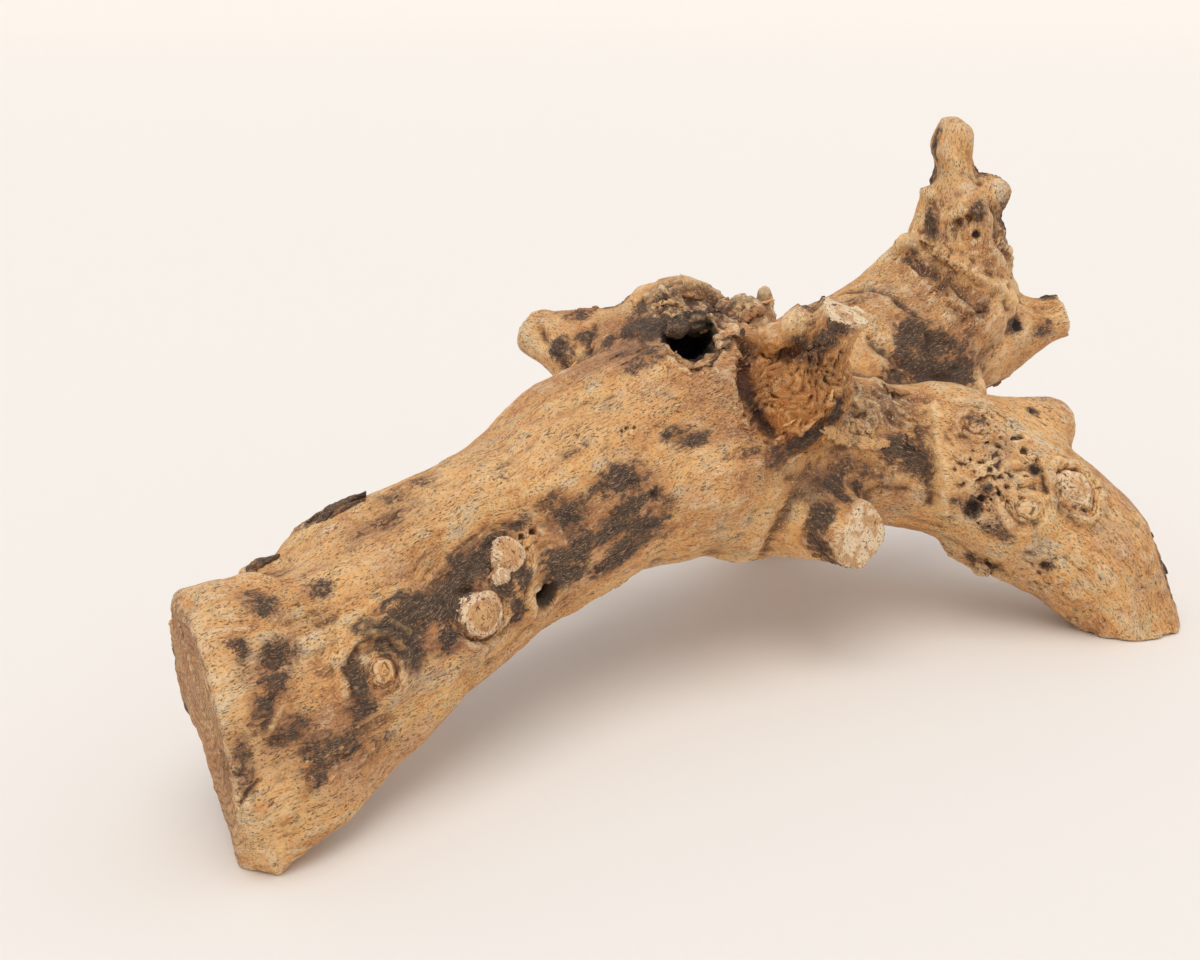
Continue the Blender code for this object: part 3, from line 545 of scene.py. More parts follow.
def reliefOf(wood):
    # How far each point of the surface is raised, in mm
    points, r = wood["points"], relief
    calm = 1 - wood["sawn"]
    height = r["lumpHeight"] * lumpNoise(points / r["lumpSize"], 11)
    height += r["ridgeHeight"] * (0.5 - 2 * np.abs(fibreNoise(wood, r["ridgeWidth"], r["ridgeLength"], 12)))
    height += r["strandHeight"] * (0.4 - 1.6 * np.abs(fibreNoise(wood, r["strandWidth"], r["strandLength"], 13)))
    # burl: curling strands with torn gaps between them
    swirling = wood["burl"]
    height += swirling * r["burlHeight"] * (0.5 - 2 * np.abs(fibreNoise(wood, r["burlWidth"], r["burlLength"], 14)))
    height += swirling * 0.9 * (0.4 - 2 * np.abs(fibreNoise(wood, 6, 24, 44)))
    height += swirling * 1.4 * lumpNoise(points / 9, 15)
    height -= swirling * 1.4 * easeBetween(0.36, 0.55, fibreNoise(wood, 2.6, 8, 16))
    # crust: layers of broken bark with cracks
    crusty = np.flatnonzero(wood["crust"] > 0.02)
    strength, spot = wood["crust"][crusty], points[crusty]
    warp = np.stack([lumpNoise(spot / 5, seed) for seed in (17, 45, 46)], axis=1)
    first, second = cellGaps(spot / r["plateSize"] + 0.55 * warp, 18)
    layers = r["plateHeight"] * (lumpNoise(spot / 11, 19) + 0.3 * lumpNoise(spot / 4.5, 47))
    height[crusty] += strength * stepped(layers, r["plateStep"])
    height[crusty] += strength * 0.35 * lumpNoise(spot / 2.4, 20)
    broken = easeBetween(-0.15, 0.25, lumpNoise(spot / 9, 48))
    height[crusty] -= strength * broken * r["crackDepth"] * np.exp(-((second - first) / 0.09) ** 2)
    # gnarled wood: uneven swellings
    height += wood["gnarled"] * r["gnarlHeight"] * lumpNoise(points / r["gnarlSize"], 49)
    height += wood["gnarled"] * 0.7 * (0.4 - 2 * np.abs(lumpNoise(points / 6, 50)))
    # worm-eaten wood: ragged pits along the fibres
    pits = fibreNoise(wood, 2.6, 4.5, 21) + 0.35 * lumpNoise(points / 1.9, 51)
    height -= wood["wormy"] * r["wormDepth"] * easeBetween(0.24, 0.46, pits)
    height += wood["wormy"] * 0.6 * lumpNoise(points / 4.5, 22)
    # bark residue lies on the wood as a thin rough skin
    ragged = 0.5 * fibreNoise(wood, 2.0, 8, 23) + 0.3 * lumpNoise(points / 3, 27)
    skin = easeBetween(0.4, 0.6, wood["residueAndShade"] + ragged)
    height += skin * r["residueHeight"] * (1 + 1.2 * lumpNoise(points / 1.9, 24))
    for line, width, rise in seams:
        gap = lineGaps(points, line)
        near = gap < 4 * width
        wavy = 1 + 0.5 * lumpNoise(points[near] / 5, 52)
        reach = gap[near] / width * (1 + 0.5 * lumpNoise(points[near] / 3.5, 53))
        height[near] += rise * wavy * np.exp(-reach ** 2)
    for place, radius, plug, groove, lip, ringHeight in knots.values():
        reach, facing = knotReach(wood, place, radius)
        near = facing & (reach < 3)
        gap = reach[near]
        calmed = easeBetween(0.7, 1.0, gap) if plug > 1 else 1.0
        broken = np.clip(0.45 + 1.5 * lumpNoise(points[near] / 6, 54), 0, 1.3)
        height[near] *= 0.35 + 0.65 * easeBetween(0.8, 1.3, gap)
        height[near] += plug * (1 - easeBetween(0.72, 0.84, gap))
        height[near] -= groove * (0.5 + 0.6 * broken) * np.exp(-((gap - 0.92) / 0.11) ** 2)
        height[near] += lip * (0.4 + 0.8 * broken) * np.exp(-((gap - 1.28) / 0.2) ** 2)
        faded = (1 - easeBetween(1.4, 2.3, gap)) * calmed * broken
        turn = gap * radius * 2 * math.pi / r["ringGap"] + 2 * lumpNoise(points[near] / 5, 55)
        height[near] += faded * ringHeight * np.sin(turn)
    # the lips of the cavity are torn, and its lower lip is broken away
    gap = straightGaps(points, np.array(cavity["mouth"]), np.array(cavity["end"]), -0.3) / cavity["radius"]
    lip = np.exp(-((gap - 1.1) / 0.45) ** 2)
    height += lip * (2.2 * lumpNoise(points / 4.6, 41) + 1.5 * lumpNoise(points / 2.2, 42))
    for place, radius, depth in wornPits + cavityLip:
        gap = np.linalg.norm(points - place, axis=1) / radius
        near = gap < 2.2
        ragged = gap[near] * (1 + 0.35 * lumpNoise(points[near] / (0.8 * radius), 56))
        height[near] -= depth * np.exp(-ragged ** 4 * 0.8)
    height *= calm
    height += wood["sawn"] * (0.10 * lumpNoise(points / 1.6, 26) - 0.35)
    return height


def meshArrays(mesh):
    points = np.empty(len(mesh.vertices) * 3)
    mesh.vertices.foreach_get("co", points)
    normals = np.empty(len(mesh.vertices) * 3)
    mesh.vertex_normals.foreach_get("vector", normals)
    return points.reshape(-1, 3) / mm - standShift, normals.reshape(-1, 3)


def applied(piece):
    # The piece with its modifiers made real
    graph = bpy.context.evaluated_depsgraph_get()
    mesh = bpy.data.meshes.new_from_object(piece.evaluated_get(graph))
    piece.modifiers.clear()
    piece.data = mesh


def raisedBy(mesh, points, normals, passes):
    # How far each point stands above the surface once that is evened out, over a short and a long reach, in mm
    edges = np.empty(len(mesh.edges) * 2, int)
    mesh.edges.foreach_get("vertices", edges)
    one, two = edges[::2], edges[1::2]
    count = np.bincount(edges, minlength=len(points))
    even, found = points.copy(), []
    for step in range(1, max(passes) + 1):
        for k in range(3):
            total = np.bincount(one, even[two, k], len(points)) + np.bincount(two, even[one, k], len(points))
            even[:, k] += 0.6 * (total / count - even[:, k])
        if step in passes:
            found.append(((points - even) * normals).sum(axis=1))
    return found


def holeShade(points):
    # Painted shade: the insides of the cavity, the knot hole and the small pits, made dark
    dark = np.zeros(len(points))
    for hollow in (cavity, knotHole):
        a, b, radius = np.array(hollow["mouth"]), np.array(hollow["end"]), hollow["radius"]
        gap = straightGaps(points, a, b)
        deep = (points - a) @ (b - a) / np.linalg.norm(b - a)
        inside = easeBetween(0, 9, deep + 0.2 * radius) * (1 - easeBetween(radius, radius + 3, gap))
        dark = np.maximum(dark, inside)
    for place, radius, depth in wornPits:
        gap = np.linalg.norm(points - place, axis=1) / radius
        dark = np.maximum(dark, np.exp(-(gap / 1.05) ** 4))
    return dark


def seamField(points, sign):
    # 1 along the grooves (sign -1) or the ridges (sign 1)
    found = np.zeros(len(points))
    for line, width, rise in seams:
        if rise * sign > 0:
            found = np.maximum(found, min(1, abs(rise)) * np.exp(-(lineGaps(points, line) / (0.8 * width)) ** 2))
    return found


def writeMasks(mesh, kept, masks):
    masks["towerShare"] = kept["share"][1] / (kept["share"][0] + kept["share"][1])
    masks["stubShare"] = kept["share"][2]
    for name, values in masks.items():
        layer = mesh.attributes.new(name, "FLOAT", "POINT")
        layer.data.foreach_set("value", values.astype(np.float32))
    for name in fibreLines:
        layer = mesh.attributes.new(name + "Fibres", "FLOAT_VECTOR", "POINT")
        layer.data.foreach_set("vector", kept[name + "Fibres"].astype(np.float32).ravel())


rootWood = {
    "voxel": 0.95 * mm,    # fine enough for the knots' rings
    "roundOver": 6,        # passes that take the facets out
    "triangles": 196000,
    "reliefPasses": (5, 90),    # evening out for the fine relief and for the larger form
}


def makeRoot():
    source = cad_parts["mulberry_root"]
    welded = bmesh.new()
    welded.from_mesh(source.data)
    bmesh.ops.remove_doubles(welded, verts=welded.verts, dist=0.00001)
    for centre, radii in lumps:
        ball = bmesh.ops.create_icosphere(welded, subdivisions=2, radius=1)["verts"]
        for spot in ball:
            spot.co = Vector((np.array(spot.co) * radii + centre + standShift) * mm)
    mesh = bpy.data.meshes.new("rootWood")
    welded.to_mesh(mesh)
    welded.free()
    piece = addObject("rootWood", mesh)
    rounded = piece.modifiers.new("roundFacets", "SUBSURF")
    rounded.levels = rounded.render_levels = 1
    fine = piece.modifiers.new("fineSkin", "REMESH")
    fine.mode = "VOXEL"
    fine.voxel_size = rootWood["voxel"]
    smooth = piece.modifiers.new("roundOver", "SMOOTH")
    smooth.factor = 0.5
    smooth.iterations = rootWood["roundOver"]
    applied(piece)
    report(f"fine skin: {len(piece.data.vertices)} points")

    points, normals = meshArrays(piece.data)
    wood = readWood(points, normals)
    for row in strewn:
        strewMarks(wood, *row)
    wood["residueAndShade"] = markField(wood, barkResidueAndShade)
    height = reliefOf(wood)
    report("relief worked out")
    moved = (points + normals * height[:, None] + standShift) * mm
    moved = np.clip(moved, np.array(cadBox[0]), np.array(cadBox[1]))
    piece.data.vertices.foreach_set("co", moved.ravel())
    piece.data.update()

    thin = piece.modifiers.new("thinOut", "DECIMATE")
    thin.ratio = rootWood["triangles"] / (2 * len(points))
    applied(piece)
    report(f"thinned to {len(piece.data.polygons)} faces")
    points, normals = meshArrays(piece.data)
    kept = readWood(points, normals)
    fineRelief, form = raisedBy(piece.data, points, normals, rootWood["reliefPasses"])
    masks = {
        "residueAndShade": markField(kept, barkResidueAndShade), "redStainAndShade": markField(kept, redStainAndShade),
        "paleWearAndHighlight": markField(kept, paleWearAndHighlight), "fineRelief": fineRelief, "form": form,
        "sawn": kept["sawn"], "rings": kept["rings"], "dark": holeShade(points),
        "burl": kept["burl"], "crust": kept["crust"],
        "groove": seamField(points, -1), "ridge": seamField(points, 1),
    }
    endFace = easeBetween(-0.75, -0.92, normals[:, 0]) * (points[:, 0] < trunkEnd["before"])
    masks["redStainAndShade"] = np.maximum(masks["redStainAndShade"], trunkEnd["stainAndShade"] * endFace)    # painted shade: the trunk's end face is browner all over
    masks["endGrain"] = endFace
    pith = np.linalg.norm((points - trunkEnd["pith"]) * (1, 1, 0.8), axis=1)    # its rings are taller than wide
    masks["rings"] = np.where(endFace > 0, pith, masks["rings"])
    knotRings = np.full(len(points), 9.0)
    for name in knots:
        if name not in ("tornPatch", "frontStub"):
            knotRings = np.minimum(knotRings, knotReach(kept, *knots[name][:2])[0])
    for name, amount in cutKnots.items():
        disc = 1 - easeBetween(0.72, 0.86, knotReach(kept, *knots[name][:2])[0])
        masks["sawn"] = np.maximum(masks["sawn"], amount * disc)
    masks["knotRings"] = knotRings
    writeMasks(piece.data, kept, masks)
    piece.data.shade_smooth()
    return piece, kept, masks


# Flakes of bark and torn fibres that stand off the wood: the line each one follows, half width, thickness, its
# lift at the start, middle and end, and how much dark bark is on it
flakes = [
    ([(34, -16, 104), (42, -12, 100), (50, -8, 96), (60, -2, 92), (68, -4, 90), (78, -5, 88)], 3.4, 1.3,
     (0.6, 1.7, 0.6), 0.1),
    ([(52, -2, 96), (62, 2, 96), (72, 0, 93)], 3.2, 1.0, (0.3, 1.0, 0.4), 0.2),
    ([(-170, 3, 94), (-164, 5, 97), (-156, 7, 99), (-150, 7, 101)], 3.0, 1.5, (0.2, 0.8, 2.6), 1.0),
    ([(-166, 1, 96), (-158, 3, 99), (-152, 3, 101)], 1.8, 1.0, (0.2, 0.5, 0.8), 0.8),
    ([(-203, -14, 89), (-196, -9, 90), (-188, -6, 89)], 2.6, 1.1, (0.2, 0.7, 1.4), 0.7),
    ([(-6, 6, 130), (2, 10, 133), (10, 15, 136), (19, 20, 138)], 0.9, 1.1, (0.2, 1.6, 2.0), 0.75),
    ([(-2, 39, 143), (2, 37, 141), (7, 36, 140)], 3.0, 1.2, (0.8, 1.6, 1.0), 0.0),
    ([(-6, 47, 147), (0, 45, 147), (6, 44, 147)], 2.6, 1.1, (0.4, 1.4, 0.9), 0.1),
    ([(10, 48, 149), (16, 47, 149), (22, 48, 148)], 2.2, 1.0, (0.3, 1.2, 0.6), 0.5),
    ([(24, 30, 141), (31, 29, 142), (38, 32, 143)], 2.6, 1.2, (0.3, 1.4, 0.8), 0.45),
    ([(-14, 10, 131), (-10, 8, 130), (-4, 7, 130)], 1.0, 0.8, (0.2, 0.9, 1.3), 0.1),
    ([(-17, 16, 134), (-14, 14, 134), (-12, 17, 136)], 0.9, 0.8, (0.2, 0.9, 1.6), 0.2),
    ([(150, 62, 154), (156, 48, 147), (163, 39, 140)], 2.4, 1.1, (0.2, 0.8, 0.3), 0.1),
    ([(-98, -17, 80), (-95, -15, 81), (-91, -13, 82)], 1.2, 0.9, (0.3, 1.2, 0.9), 0.2),
    ([(30, -9, 135), (32, -14, 139), (36, -19, 144)], 1.6, 0.9, (0.2, 0.7, 1.0), 0.9),
    ([(84, 10, 108), (90, 8, 107), (97, 6, 106)], 2.2, 1.0, (0.2, 1.1, 0.4), 0.3),
]


tornFibres = {   # mm
    "strewn": 240, "seed": 34, "step": 0.8, "narrow": 1.2, "narrowCells": 3, "wideCells": 6,
    "edgeWaver": 0.6, "grainHeight": 0.25, "sunk": 0.7,
}


def strewFlakes(kept, residueAndShade):
    # Short torn fibres, most of them at the rims of the bark residue
    draw = np.random.default_rng(tornFibres["seed"])
    likely = np.exp(-((residueAndShade - 0.55) / 0.25) ** 2) + 0.5 * kept["crust"] + 0.25 * kept["burl"] + 0.03
    likely = likely * (kept["sawn"] < 0.1)
    for at in draw.choice(len(residueAndShade), tornFibres["strewn"], replace=False, p=likely / likely.sum()):
        length, turn = draw.uniform(1.5, 4.5), draw.normal(0, 0.25)
        along = kept["along"][at] + turn * np.cross(kept["normals"][at], kept["along"][at])
        line = [tuple(kept["points"][at] + along * length * part) for part in (-1, 0, 1)]
        lift = draw.uniform(0.2, 1.0, 3)
        half, thick = draw.uniform(0.35, 1.0), draw.uniform(0.35, 0.7)
        flakes.append((line, half, thick, tuple(lift), min(1.2, 1.1 * residueAndShade[at])))


def makeFlakes(root):
    faces = [tuple(face.vertices) for face in root.data.polygons]
    skin = BVHTree.FromPolygons([spot.co for spot in root.data.vertices], faces)
    made = tornFibres
    points, quads, dark = [], [], []
    for line, half, thick, lifts, darkness in flakes:
        line = (np.array(line, float) + standShift) * mm
        at = np.concatenate([[0], np.cumsum(np.linalg.norm(np.diff(line, axis=0), axis=1))])
        count = max(6, int(at[-1] / (made["step"] * mm)))
        wide = made["narrowCells"] if half < made["narrow"] else made["wideCells"]
        run = np.linspace(0, at[-1], count)
        path = np.stack([np.interp(run, at, line[:, k]) for k in range(3)], axis=1)
        first = len(points)
        for i, spot in enumerate(path):
            part = i / (count - 1)
            ahead = path[min(i + 1, count - 1)] - path[max(i - 1, 0)]
            _, outward, *_ = skin.find_nearest(Vector(spot))
            across = Vector(outward).cross(Vector(ahead)).normalized()
            waver = first * 0.37 + i * 0.45
            edge = 1 + made["edgeWaver"] * lumpNoise(np.array([[waver, 0.5, 0.5], [waver, 7.5, 0.5]]), 57)
            reach = half * max(0.12, 4 * part * (1 - part)) ** 0.45
            lift = np.interp(part, (0, 0.5, 1), lifts)
            rows = []
            for j in range(wide + 1):
                side = 2 * j / wide - 1
                offset = across * (side * reach * edge[0 if side < 0 else 1] * mm)
                place, outward, *_ = skin.find_nearest(Vector(spot) + offset)
                grain = made["grainHeight"] * lumpNoise(np.array([[i * 0.5, j * 0.9, first * 0.11]]), 58)[0]
                raised = lift * (0.5 - 0.5 * side)    # its lower edge stands off, the upper one holds on
                full = thick * (1 - 0.6 * side ** 2) * (0.3 + 2.8 * part * (1 - part))
                top = place + outward * ((raised + grain + full) * mm)
                rows.append((top, place + outward * ((raised - made["sunk"]) * mm)))
            points += [row[0] for row in rows] + [row[1] for row in rows]
            dark += [darkness] * (2 * (wide + 1))
        loop = list(range(wide + 1)) + list(range(2 * wide + 1, wide, -1))
        for i in range(count - 1):
            here, after = first + 2 * (wide + 1) * i, first + 2 * (wide + 1) * (i + 1)
            for a, b in zip(loop, loop[1:] + loop[:1]):
                quads.append((here + a, here + b, after + b, after + a))
        quads.append([first + a for a in reversed(loop)])
        quads.append([first + 2 * (wide + 1) * (count - 1) + a for a in loop])
    mesh = bpy.data.meshes.new("tornFibres")
    inside = np.clip(np.array(points), np.array(cadBox[0]), np.array(cadBox[1]))
    mesh.from_pydata(inside.tolist(), [], quads)
    solid = bmesh.new()
    solid.from_mesh(mesh)
    bmesh.ops.recalc_face_normals(solid, faces=solid.faces)
    bmesh.ops.triangulate(solid, faces=solid.faces)
    solid.to_mesh(mesh)
    solid.free()
    piece = addObject("tornFibres", mesh)
    points, normals = meshArrays(mesh)
    kept = readWood(points, normals)
    empty = np.zeros(len(points))
    masks = {name: empty for name in ("redStainAndShade", "form", "sawn", "rings", "dark", "burl", "crust", "groove",
                                      "ridge", "fineRelief", "endGrain")}
    masks["residueAndShade"] = np.array(dark)
    masks["paleWearAndHighlight"] = 0.5 * (masks["residueAndShade"] < 0.3)
    masks["knotRings"] = empty + 9
    writeMasks(mesh, kept, masks)
    mesh.shade_smooth()
    return piece


# Mulberry wood, weathered and bark-stripped: dry and open-grained, matt, with honey-coloured sapwood,
# brown streaks along the fibres, dark pores, and grey-black bark residue left in patches, some of it painted shade;
# painted shade also darkens the folds, grooves, hollows and the trunk's end face, and painted highlight lightens the
# ridges and raised points
mulberryWood = {
    "shadow": "#7A4A29", "brown": "#C08550", "ochre": "#E6A763", "honey": "#F8C683", "pale": "#FDE3B8",
    "wearAndHighlight": "#FCC987", "weathered": "#DDB288", "red": "#9C6A50", "umber": "#42291B", "stainAndShade": "#7C563E",
    "residueAndShade": "#30261F", "greyResidueAndShade": "#69533F", "fleck": "#C69A70", "burlGold": "#C98F4E", "burlShade": "#F8CF92",
    "pore": "#5C361D",
    "freshCut": "#FCE2BC", "cutShade": "#DDB27C", "cutOchre": "#CF9657", "bark": "#7A6552", "hole": "#150D08",
    "roughness": 0.74, "ior": 1.5,
}


def makeWood():
    look = mulberryWood
    material = bpy.data.materials.new("mulberryWood")
    material.use_nodes = True
    tree = material.node_tree
    tree.nodes.clear()

    def mask(name, output="Fac"):
        return addNode(tree, "ShaderNodeAttribute", attribute_name=name, attribute_type="GEOMETRY").outputs[output]

    def number(operation, a, b=0.0, c=0.0, clamp=False):
        return addNode(tree, "ShaderNodeMath", {0: a, 1: b, 2: c}, operation=operation, use_clamp=clamp).outputs[0]

    def between(low, high, value, start=0.0, end=1.0):
        return addNode(tree, "ShaderNodeMapRange", {"Value": value, "From Min": low, "From Max": high,
                       "To Min": start, "To Max": end}, interpolation_type="SMOOTHSTEP").outputs["Result"]

    def blended(amount, a, b, way="MIX"):
        colours = {key: hexColour(value) if isinstance(value, str) else value for key, value in ((6, a), (7, b))}
        return addNode(tree, "ShaderNodeMix", {0: amount, **colours}, data_type="RGBA", blend_type=way).outputs[2]

    fibres = {name: mask(name + "Fibres", "Vector") for name in fibreLines}
    shares = mask("towerShare"), mask("stubShare")

    def streaks(width, length, detail, offset, roughness=0.55):
        # width and length of one streak in mm, the three fibre directions mixed
        made = []
        for place in fibres.values():
            scaled = addNode(tree, "ShaderNodeVectorMath", {0: place, 1: (1 / width, 1 / width, 1 / length),
                             2: (offset, offset, offset)}, operation="MULTIPLY_ADD").outputs[0]
            made.append(addNode(tree, "ShaderNodeTexNoise", {"Vector": scaled, "Scale": 1.0, "Detail": detail,
                                "Roughness": roughness}).outputs["Fac"])
        first = addNode(tree, "ShaderNodeMix", {0: shares[0], 2: made[0], 3: made[1]}, data_type="FLOAT").outputs[0]
        return addNode(tree, "ShaderNodeMix", {0: shares[1], 2: first, 3: made[2]}, data_type="FLOAT").outputs[0]

    place = addNode(tree, "ShaderNodeTexCoord").outputs["Object"]
    perMm = addNode(tree, "ShaderNodeVectorMath", {0: place, 1: (1000, 1000, 1000)}, operation="MULTIPLY").outputs[0]

    def blotches(size, detail):
        return addNode(tree, "ShaderNodeTexNoise", {"Vector": perMm, "Scale": 1 / size,
                       "Detail": detail}).outputs["Fac"]

    def shifted(field, amount, base):
        # base, moved up and down by a noise field
        return number("MULTIPLY_ADD", number("SUBTRACT", field, 0.5), amount, base)

    broad = streaks(18, 80, 2, 3.1)
    band = streaks(3.2, 26, 4, 11.7, 0.62)
    grain = streaks(1.2, 8, 3, 19.9, 0.65)
    fine = streaks(0.6, 2.0, 2, 23.3, 0.75)
    pores = streaks(0.66, 1.9, 1, 37.9)
    flecks = streaks(0.42, 3.4, 2, 43.1)
    blot = blotches(9, 6)
    small = blotches(2.6, 4)
    fuzz = blotches(0.8, 2)
    fineRelief, form = mask("fineRelief"), mask("form")

    # sapwood: from brown through ochre to honey, in streaks
    tone = number("MULTIPLY_ADD", broad, 0.9, number("MULTIPLY_ADD", band, 0.7, number("MULTIPLY", blot, 0.9)))
    tone = between(0.95, 1.6, number("MULTIPLY_ADD", small, 0.4, number("SUBTRACT", tone, 0.2)))
    colour = blended(between(0.0, 0.35, tone), look["brown"], look["ochre"])
    colour = blended(between(0.3, 0.7, tone), colour, look["honey"])
    colour = blended(between(0.7, 1.0, tone), colour, look["pale"])
    greyed = between(0.52, 0.66, blotches(17, 3))
    colour = blended(number("MULTIPLY", greyed, 0.5), colour, look["weathered"])
    # pale wear, with painted highlight on the ridges
    wearAndHighlight = number("ADD", mask("paleWearAndHighlight"), mask("ridge"), clamp=True)
    colour = blended(number("MULTIPLY", wearAndHighlight, between(0.38, 0.56, band, 0.4, 0.9)), colour, look["wearAndHighlight"])
    # reddish brown stain in curling lines
    redAmount = number("MULTIPLY", mask("redStainAndShade"), between(0.38, 0.6, number("MULTIPLY_ADD", grain, 0.5,
                       number("MULTIPLY", band, 0.5)), 0.15, 1.0))
    colour = blended(number("MULTIPLY", redAmount, 0.8), colour, look["red"])
    colour = blended(number("MULTIPLY", mask("burl"), 0.75), colour, look["burlGold"])
    colour = blended(number("MULTIPLY", mask("crust"), between(0.4, 0.6, small, 0.35, 0.85)), colour, look["bark"])
    # painted shade darkens the folds and recesses, painted highlight lightens the raised points
    foldShade = shifted(blot, 2.0, form)
    colour = blended(between(-0.3, -2.4, foldShade, 0.0, 0.88), colour, look["umber"])
    colour = blended(between(-0.08, -0.45, fineRelief, 0.0, 0.7), colour, look["shadow"])
    colour = blended(between(-0.3, -0.7, fineRelief, 0.0, 0.85), colour, look["umber"])
    colour = blended(between(0.1, 0.42, fineRelief, 0.0, 0.5), colour, look["pale"])
    # single fibres, light and dark
    speckle = number("MULTIPLY_ADD", fine, 0.6, number("MULTIPLY", fuzz, 0.4))
    clean = number("SUBTRACT", 1.0, number("MULTIPLY", wearAndHighlight, 0.5))
    colour = blended(between(0.52, 0.64, speckle, 0.0, 0.6), colour, look["pale"])
    colour = blended(number("MULTIPLY", between(0.47, 0.35, speckle, 0.0, 0.75), clean), colour, look["shadow"])
    colour = blended(number("MULTIPLY", between(0.43, 0.31, grain, 0.0, 0.6), clean), colour, look["shadow"])
    colour = blended(number("MULTIPLY", mask("burl"), 0.7), colour, look["burlShade"], "MULTIPLY")
    # thin dark growth lines
    line = between(0.018, 0.004, number("ABSOLUTE", number("SUBTRACT", band, 0.46)))
    lined = number("ADD", between(0.5, 0.62, blot, 0.0, 0.6), number("MULTIPLY", mask("redStainAndShade"), 0.5))
    colour = blended(number("MULTIPLY", line, lined), colour, look["umber"])
    # pores 0.3 to 0.4 mm wide, drawn about 0.6 mm wide so that they show
    pore = number("MULTIPLY", between(0.60, 0.66, pores), between(0.35, 0.6, blot, 0.4, 1.0))
    colour = blended(number("MULTIPLY", pore, 0.75), colour, look["pore"])
    # bark residue: a brown stain, and on it ragged grey-black skin with light torn fibres in it; under the thick mass
    # and in its furrow it is also painted shade
    ragged = number("MULTIPLY", number("SUBTRACT", band, 0.5), 1.7)
    for field, amount in ((speckle, 2.6), (grain, 1.3), (small, 1.6), (blot, 1.7)):
        ragged = shifted(field, amount, ragged)
    lying = number("MULTIPLY_ADD", ragged, between(0.0, 0.4, mask("residueAndShade"), 0.45, 1.0), mask("residueAndShade"))
    colour = blended(between(-0.1, 0.6, lying, 0.0, 0.82), colour, look["stainAndShade"])
    skin = between(0.5, 0.72, lying)
    skinColour = blended(between(0.42, 0.62, number("MULTIPLY_ADD", grain, 0.5, number("MULTIPLY", speckle, 0.5))),
                         look["residueAndShade"], look["greyResidueAndShade"])
    skinColour = blended(between(0.57, 0.66, flecks, 0.0, 0.7), skinColour, look["fleck"])
    colour = blended(number("MULTIPLY", skin, 0.94), colour, skinColour)
    # painted highlight and wear: the ridges lightened once more
    colour = blended(number("MULTIPLY", mask("ridge"), 0.7), colour, look["wearAndHighlight"])
    # growth rings on the trunk's worn end
    grown = number("SINE", number("MULTIPLY", number("MULTIPLY_ADD", blot, 6.0, mask("rings")), 2.4))
    grown = number("MULTIPLY", between(0.1, 1.0, grown, 0.0, 0.5), mask("endGrain"))
    colour = blended(grown, colour, look["shadow"])
    # knots: dark, uneven rings
    rings = mask("knotRings")
    ringNoise = shifted(small, 0.5, rings)
    ringWave = number("SINE", number("MULTIPLY", ringNoise, 19.0))
    ringLine = number("MULTIPLY", between(0.5, 0.98, ringWave), between(1.6, 1.1, rings))
    ringLine = number("MULTIPLY", ringLine, between(0.42, 0.6, blotches(4, 2)))
    colour = blended(number("MULTIPLY", ringLine, 0.6), colour, look["umber"])
    # painted shade: the grooves darkened along their length
    colour = blended(number("MULTIPLY", mask("groove"), between(0.35, 0.6, small, 0.35, 0.85)), colour, look["umber"])
    # sawn faces
    disc = mask("sawn")
    sawn = between(0.3, 0.5, shifted(fuzz, 1.1, disc))
    yearRing = number("SINE", number("MULTIPLY", number("MULTIPLY_ADD", blot, 5.0, mask("rings")), 2.6))
    cut = blended(between(0.3, 1.0, yearRing, 0.0, 0.22), look["freshCut"], look["cutShade"])
    ochrePart = number("ADD", between(1.0, 0.7, disc, 0.0, 0.25), blotches(5, 5))
    cut = blended(between(0.47, 0.62, ochrePart, 0.0, 0.8), cut, look["cutOchre"])
    # painted highlight: a pale ring round the outer part of the knots' cut faces
    rimHighlight = number("MULTIPLY", between(0.45, 0.66, shifted(small, 0.6, rings)), between(1.0, 0.8, disc))
    cut = blended(number("MULTIPLY", rimHighlight, 0.75), cut, look["freshCut"])
    aged = between(1.0, 0.85, disc, 0.2, 1.0)    # the knots' faces are older than the stubs'
    cut = blended(number("MULTIPLY", between(0.5, 0.36, grain, 0.0, 0.75), aged), cut, look["brown"])
    cut = blended(number("MULTIPLY", between(0.5, 0.38, speckle, 0.0, 0.5), aged), cut, look["shadow"])
    cut = blended(between(0.62, 0.69, blotches(0.9, 1), 0.0, 0.85), cut, look["shadow"])
    pit = number("ADD", blotches(2.2, 2), number("MULTIPLY", disc, -0.12))
    cut = blended(between(0.53, 0.58, pit, 0.0, 0.8), cut, look["umber"])
    colour = blended(sawn, colour, cut)
    # painted shade: the hollows and pits near black inside
    colour = blended(between(0.15, 0.75, mask("dark"), 0.0, 0.92), colour, look["hole"])

    # relief too fine for the mesh, in mm
    height = number("MULTIPLY_ADD", speckle, 1.0, number("MULTIPLY", pore, -0.3))
    height = number("MULTIPLY_ADD", skin, 0.15, height)
    height = number("MULTIPLY_ADD", grain, 0.7, height)
    height = number("MULTIPLY_ADD", number("MULTIPLY", grain, mask("burl")), 2.5, height)
    bump = addNode(tree, "ShaderNodeBump", {"Height": height, "Strength": 0.9, "Distance": mm})
    roughness = addNode(tree, "ShaderNodeMapRange", {"Value": fine, "From Min": 0.3, "From Max": 0.7,
                        "To Min": look["roughness"] - 0.12, "To Max": look["roughness"] + 0.12}).outputs["Result"]
    shader = addNode(tree, "ShaderNodeBsdfPrincipled", {"Base Color": colour, "Roughness": roughness,
                     "IOR": look["ior"], "Normal": bump.outputs["Normal"]})
    addNode(tree, "ShaderNodeOutputMaterial", {"Surface": shader.outputs["BSDF"]})
    return material


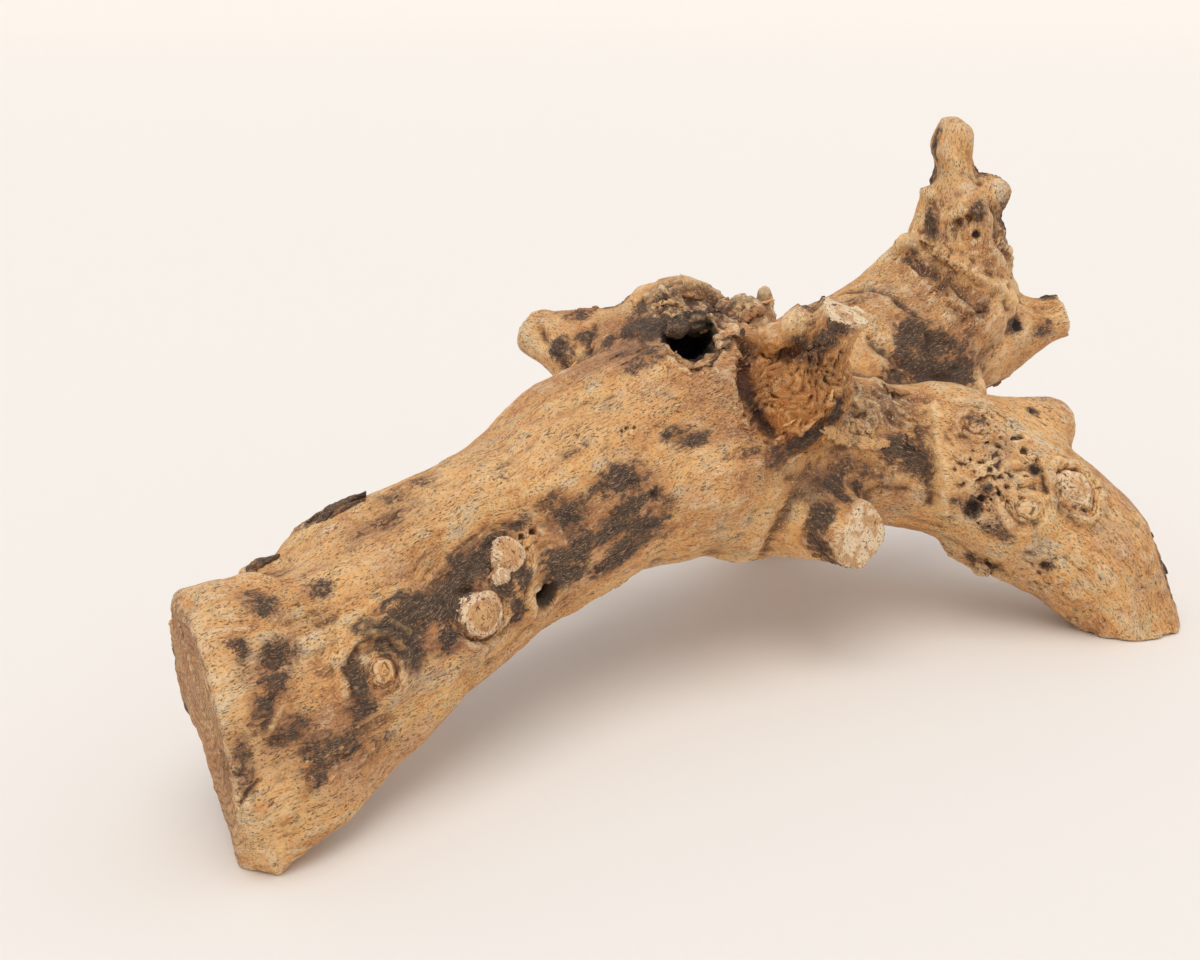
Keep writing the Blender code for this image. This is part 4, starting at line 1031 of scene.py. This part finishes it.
root, kept, masks = makeRoot()
wood = makeWood()
root.data.materials.clear()
root.data.materials.append(wood)
strewFlakes(kept, masks["residueAndShade"])
torn = makeFlakes(root)
torn.data.materials.append(wood)
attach(torn, "root")
report(f"torn fibres: {len(torn.data.polygons)} faces")
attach(root, "root")
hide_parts("mulberry_root")
report("root dressed")

# Studio: a pale paper sweep under a wide overhead soft light, with even light from all round
studio = {
    "paper": "#F3EEE7", "floorRadius": 4.2, "sweepRadius": 6.0, "sweepHeight": 3.2,
    "world": "#F6F8FF", "worldStrength": 0.71,
    "key": 1.28, "keySpread": 50, "keyFrom": (-0.30, -0.28, 1.0), "keyColour": "#FFFBF4",
}


def makeSweep():
    # a round paper floor whose edge curves up into a wall, so no horizon shows from any side
    sweep = bmesh.new()
    profile = [(0.0, 0.0), (studio["floorRadius"] * 0.5, 0.0), (studio["floorRadius"], 0.0)]
    for step in range(1, 13):
        turn = step / 12 * math.pi / 2
        reach = studio["sweepRadius"] - studio["floorRadius"]
        profile.append((studio["floorRadius"] + reach * math.sin(turn), reach * (1 - math.cos(turn))))
    profile.append((studio["sweepRadius"], studio["sweepHeight"]))
    count = 96
    loops = []
    for radius, height in profile[1:]:
        loops.append([sweep.verts.new((radius * math.cos(2 * math.pi * i / count),
                      radius * math.sin(2 * math.pi * i / count), height)) for i in range(count)])
    centre = sweep.verts.new((0, 0, 0))
    for i in range(count):
        sweep.faces.new((centre, loops[0][i], loops[0][(i + 1) % count]))
        for low, high in zip(loops, loops[1:]):
            sweep.faces.new((low[i], high[i], high[(i + 1) % count], low[(i + 1) % count]))
    bmesh.ops.recalc_face_normals(sweep, faces=sweep.faces)
    mesh = bpy.data.meshes.new("paperSweep")
    sweep.to_mesh(mesh)
    sweep.free()
    mesh.shade_smooth()
    piece = addObject("paperSweep", mesh)
    paper = bpy.data.materials.new("paleSeamlessPaper")   # heavy matt paper: no gloss, a faint tooth
    paper.use_nodes = True
    shader = paper.node_tree.nodes["Principled BSDF"]
    shader.inputs["Base Color"].default_value = hexColour(studio["paper"])
    shader.inputs["Roughness"].default_value = 0.9
    tooth = addNode(paper.node_tree, "ShaderNodeTexNoise", {"Scale": 900.0, "Detail": 2.0})
    bump = addNode(paper.node_tree, "ShaderNodeBump", {"Height": tooth.outputs["Fac"], "Strength": 0.25,
                   "Distance": 0.2 * mm})
    paper.node_tree.links.new(bump.outputs["Normal"], shader.inputs["Normal"])
    mesh.materials.append(paper)
    return piece


makeSweep()

world = bpy.data.worlds.new("studioAir")
bpy.context.scene.world = world
world.use_nodes = True
world.node_tree.nodes["Background"].inputs["Color"].default_value = hexColour(studio["world"])
world.node_tree.nodes["Background"].inputs["Strength"].default_value = studio["worldStrength"]
light = bpy.data.lights.new("overheadSoftLight", "SUN")
light.energy = studio["key"]
light.angle = math.radians(studio["keySpread"])
light.color = hexColour(studio["keyColour"])[:3]
holder = addObject("overheadSoftLight", light)
holder.rotation_euler = (-Vector(studio["keyFrom"])).to_track_quat("-Z", "Y").to_euler()

camera = {   # worked out from where the root and its shadow meet the floor: metres, lens and sensor in mm
    "place": (-0.3665, -0.5884, 0.298), "direction": (0.4755, 0.8236, -0.3090), "lens": 52.5, "sensor": 36.0,
}
lens = bpy.data.cameras.new("studioCamera")
lens.lens, lens.sensor_width, lens.sensor_fit = camera["lens"], camera["sensor"], "HORIZONTAL"
lens.clip_start, lens.clip_end = 0.01, 30
eye = addObject("studioCamera", lens)
eye.location = camera["place"]
eye.rotation_euler = Vector(camera["direction"]).to_track_quat("-Z", "Y").to_euler()
bpy.context.scene.camera = eye
bpy.context.scene.view_settings.view_transform = "Standard"

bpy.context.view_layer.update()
report("studio set up")
